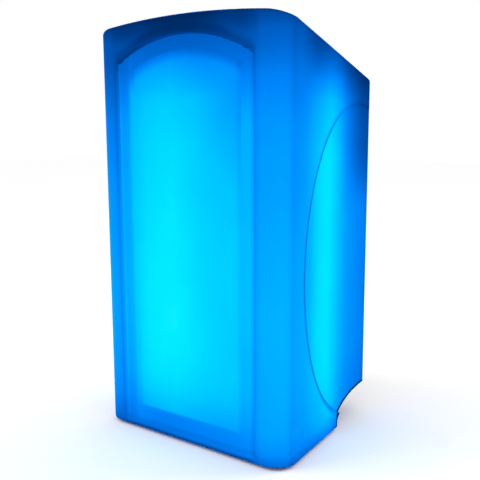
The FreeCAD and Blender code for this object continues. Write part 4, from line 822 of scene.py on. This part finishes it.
def panel_markings():
    """Printed scales round the knobs, rings round the sockets and divider lines."""
    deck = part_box("control_plate")[1].y
    marks = []
    for name in KNOBS:
        middle, _ = middle_of(name)
        r = half_width(name) + 0.0016
        for k in range(TICKS):
            long = 0.0026 if k % 5 == 0 else 0.0016
            at = math.radians(FIRST_TICK + TICK_STEP * k)
            marks.append(arc_mark(middle.x, middle.z, r, r + long, at, 0.028 * 0.016 / r))
    for node in ("mic_jacks", "aux_jack", "charge_socket"):
        low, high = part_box(node)
        z = (low.z + high.z) / 2
        reach = (high.z - low.z) / 2 + 0.0018
        centres = ((low.x + high.x) / 2,)
        if node == "mic_jacks":
            centres = (low.x + JACK_INSET, high.x - JACK_INSET)
        for x in centres:
            marks.append(arc_mark(x, z, reach, reach + LINE, 0, math.pi * 0.7, 30))
    low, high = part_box("control_plate")
    left, right = low.x + DIVIDER_INSET, high.x - DIVIDER_INSET
    for z in DIVIDERS:
        marks.append([(left, z), (right, z), (right, z + LINE), (left, z + LINE)])
    raised("panel_print", marks, deck, 0.00008, "cabinet", WHITE_MARK)


perforated_grille()
flexing_ring("woofer_surround", RUBBER, 24)
flexing_ring("woofer_spider", SPIDER_CLOTH, 12)
knob_pointers()
button_symbols()
panel_markings()


# ---------------------------------------------------------------- floor, light and camera
FLOOR_SIZE, FLOOR_Z = 14.0, -0.0004     # just under the feet
CAMERA_PLACE = Vector((0.865, FRONT_Y - 0.900, 0.513))
CAMERA_TURN, CAMERA_DOWN = math.radians(38.407), math.radians(10.078)
CAMERA_LENS, CAMERA_SHIFT = 58.14, (-0.0337, 0.0714)


def floor():
    """Pale, and white far away, so that no horizon shows."""
    mesh = bpy.data.meshes.new("floor")
    corners = [(sx * FLOOR_SIZE, sy * FLOOR_SIZE, FLOOR_Z) for sx, sy in ((-1, -1), (1, -1), (1, 1), (-1, 1))]
    mesh.from_pydata(corners, [], [(0, 1, 2, 3)])
    made = bpy.data.objects.new("studio_floor", mesh)
    bpy.context.scene.collection.objects.link(made)
    g = Graph("pale_floor")
    near = g.mix(g.noise(3.0, 3.0), (0.90, 0.90, 0.90, 1), (0.93, 0.93, 0.93, 1))
    x, y, _ = g.split(g.place)
    away = g.math("SQRT", g.add(g.mul(x, x), g.mul(y, y)))
    g.set(Base_Color=g.mix(g.step(away, 0.6, 3.5), near, (0.985, 0.985, 0.985, 1)), Roughness=0.9)
    g.shader.inputs["Specular IOR Level"].default_value = 0.0
    mesh.materials.append(g.material)


def area_light(name, place, aim, size, power):
    data = bpy.data.lights.new(name, "AREA")
    data.energy, data.size = power, size
    made = bpy.data.objects.new(name, data)
    made.location = place
    made.rotation_euler = (Vector(aim) - Vector(place)).to_track_quat("-Z", "Y").to_euler()
    bpy.context.scene.collection.objects.link(made)


def studio():
    world = bpy.data.worlds.new("studio")
    world.use_nodes = True
    world.node_tree.nodes["Background"].inputs[0].default_value = (1, 1, 1, 1)
    world.node_tree.nodes["Background"].inputs[1].default_value = 1.0
    bpy.context.scene.world = world
    bpy.context.scene.view_settings.view_transform = "Standard"
    area_light("key_softbox", (-1.8, -2.2, 2.6), (0, 0, 0.3), 2.4, 42)
    area_light("back_softbox", (1.6, 2.4, 2.2), (0, 0.1, 0.35), 2.2, 36)


def camera():
    """Stands to the front right, a little above the middle, looking down ten degrees."""
    data = bpy.data.cameras.new("camera")
    data.sensor_width, data.lens = 36.0, CAMERA_LENS
    data.shift_x, data.shift_y = CAMERA_SHIFT
    data.clip_end = 60
    made = bpy.data.objects.new("camera", data)
    made.location = CAMERA_PLACE
    made.rotation_euler = (math.pi / 2 - CAMERA_DOWN, 0, CAMERA_TURN)
    bpy.context.scene.collection.objects.link(made)
    bpy.context.scene.camera = made


floor()
studio()
camera()
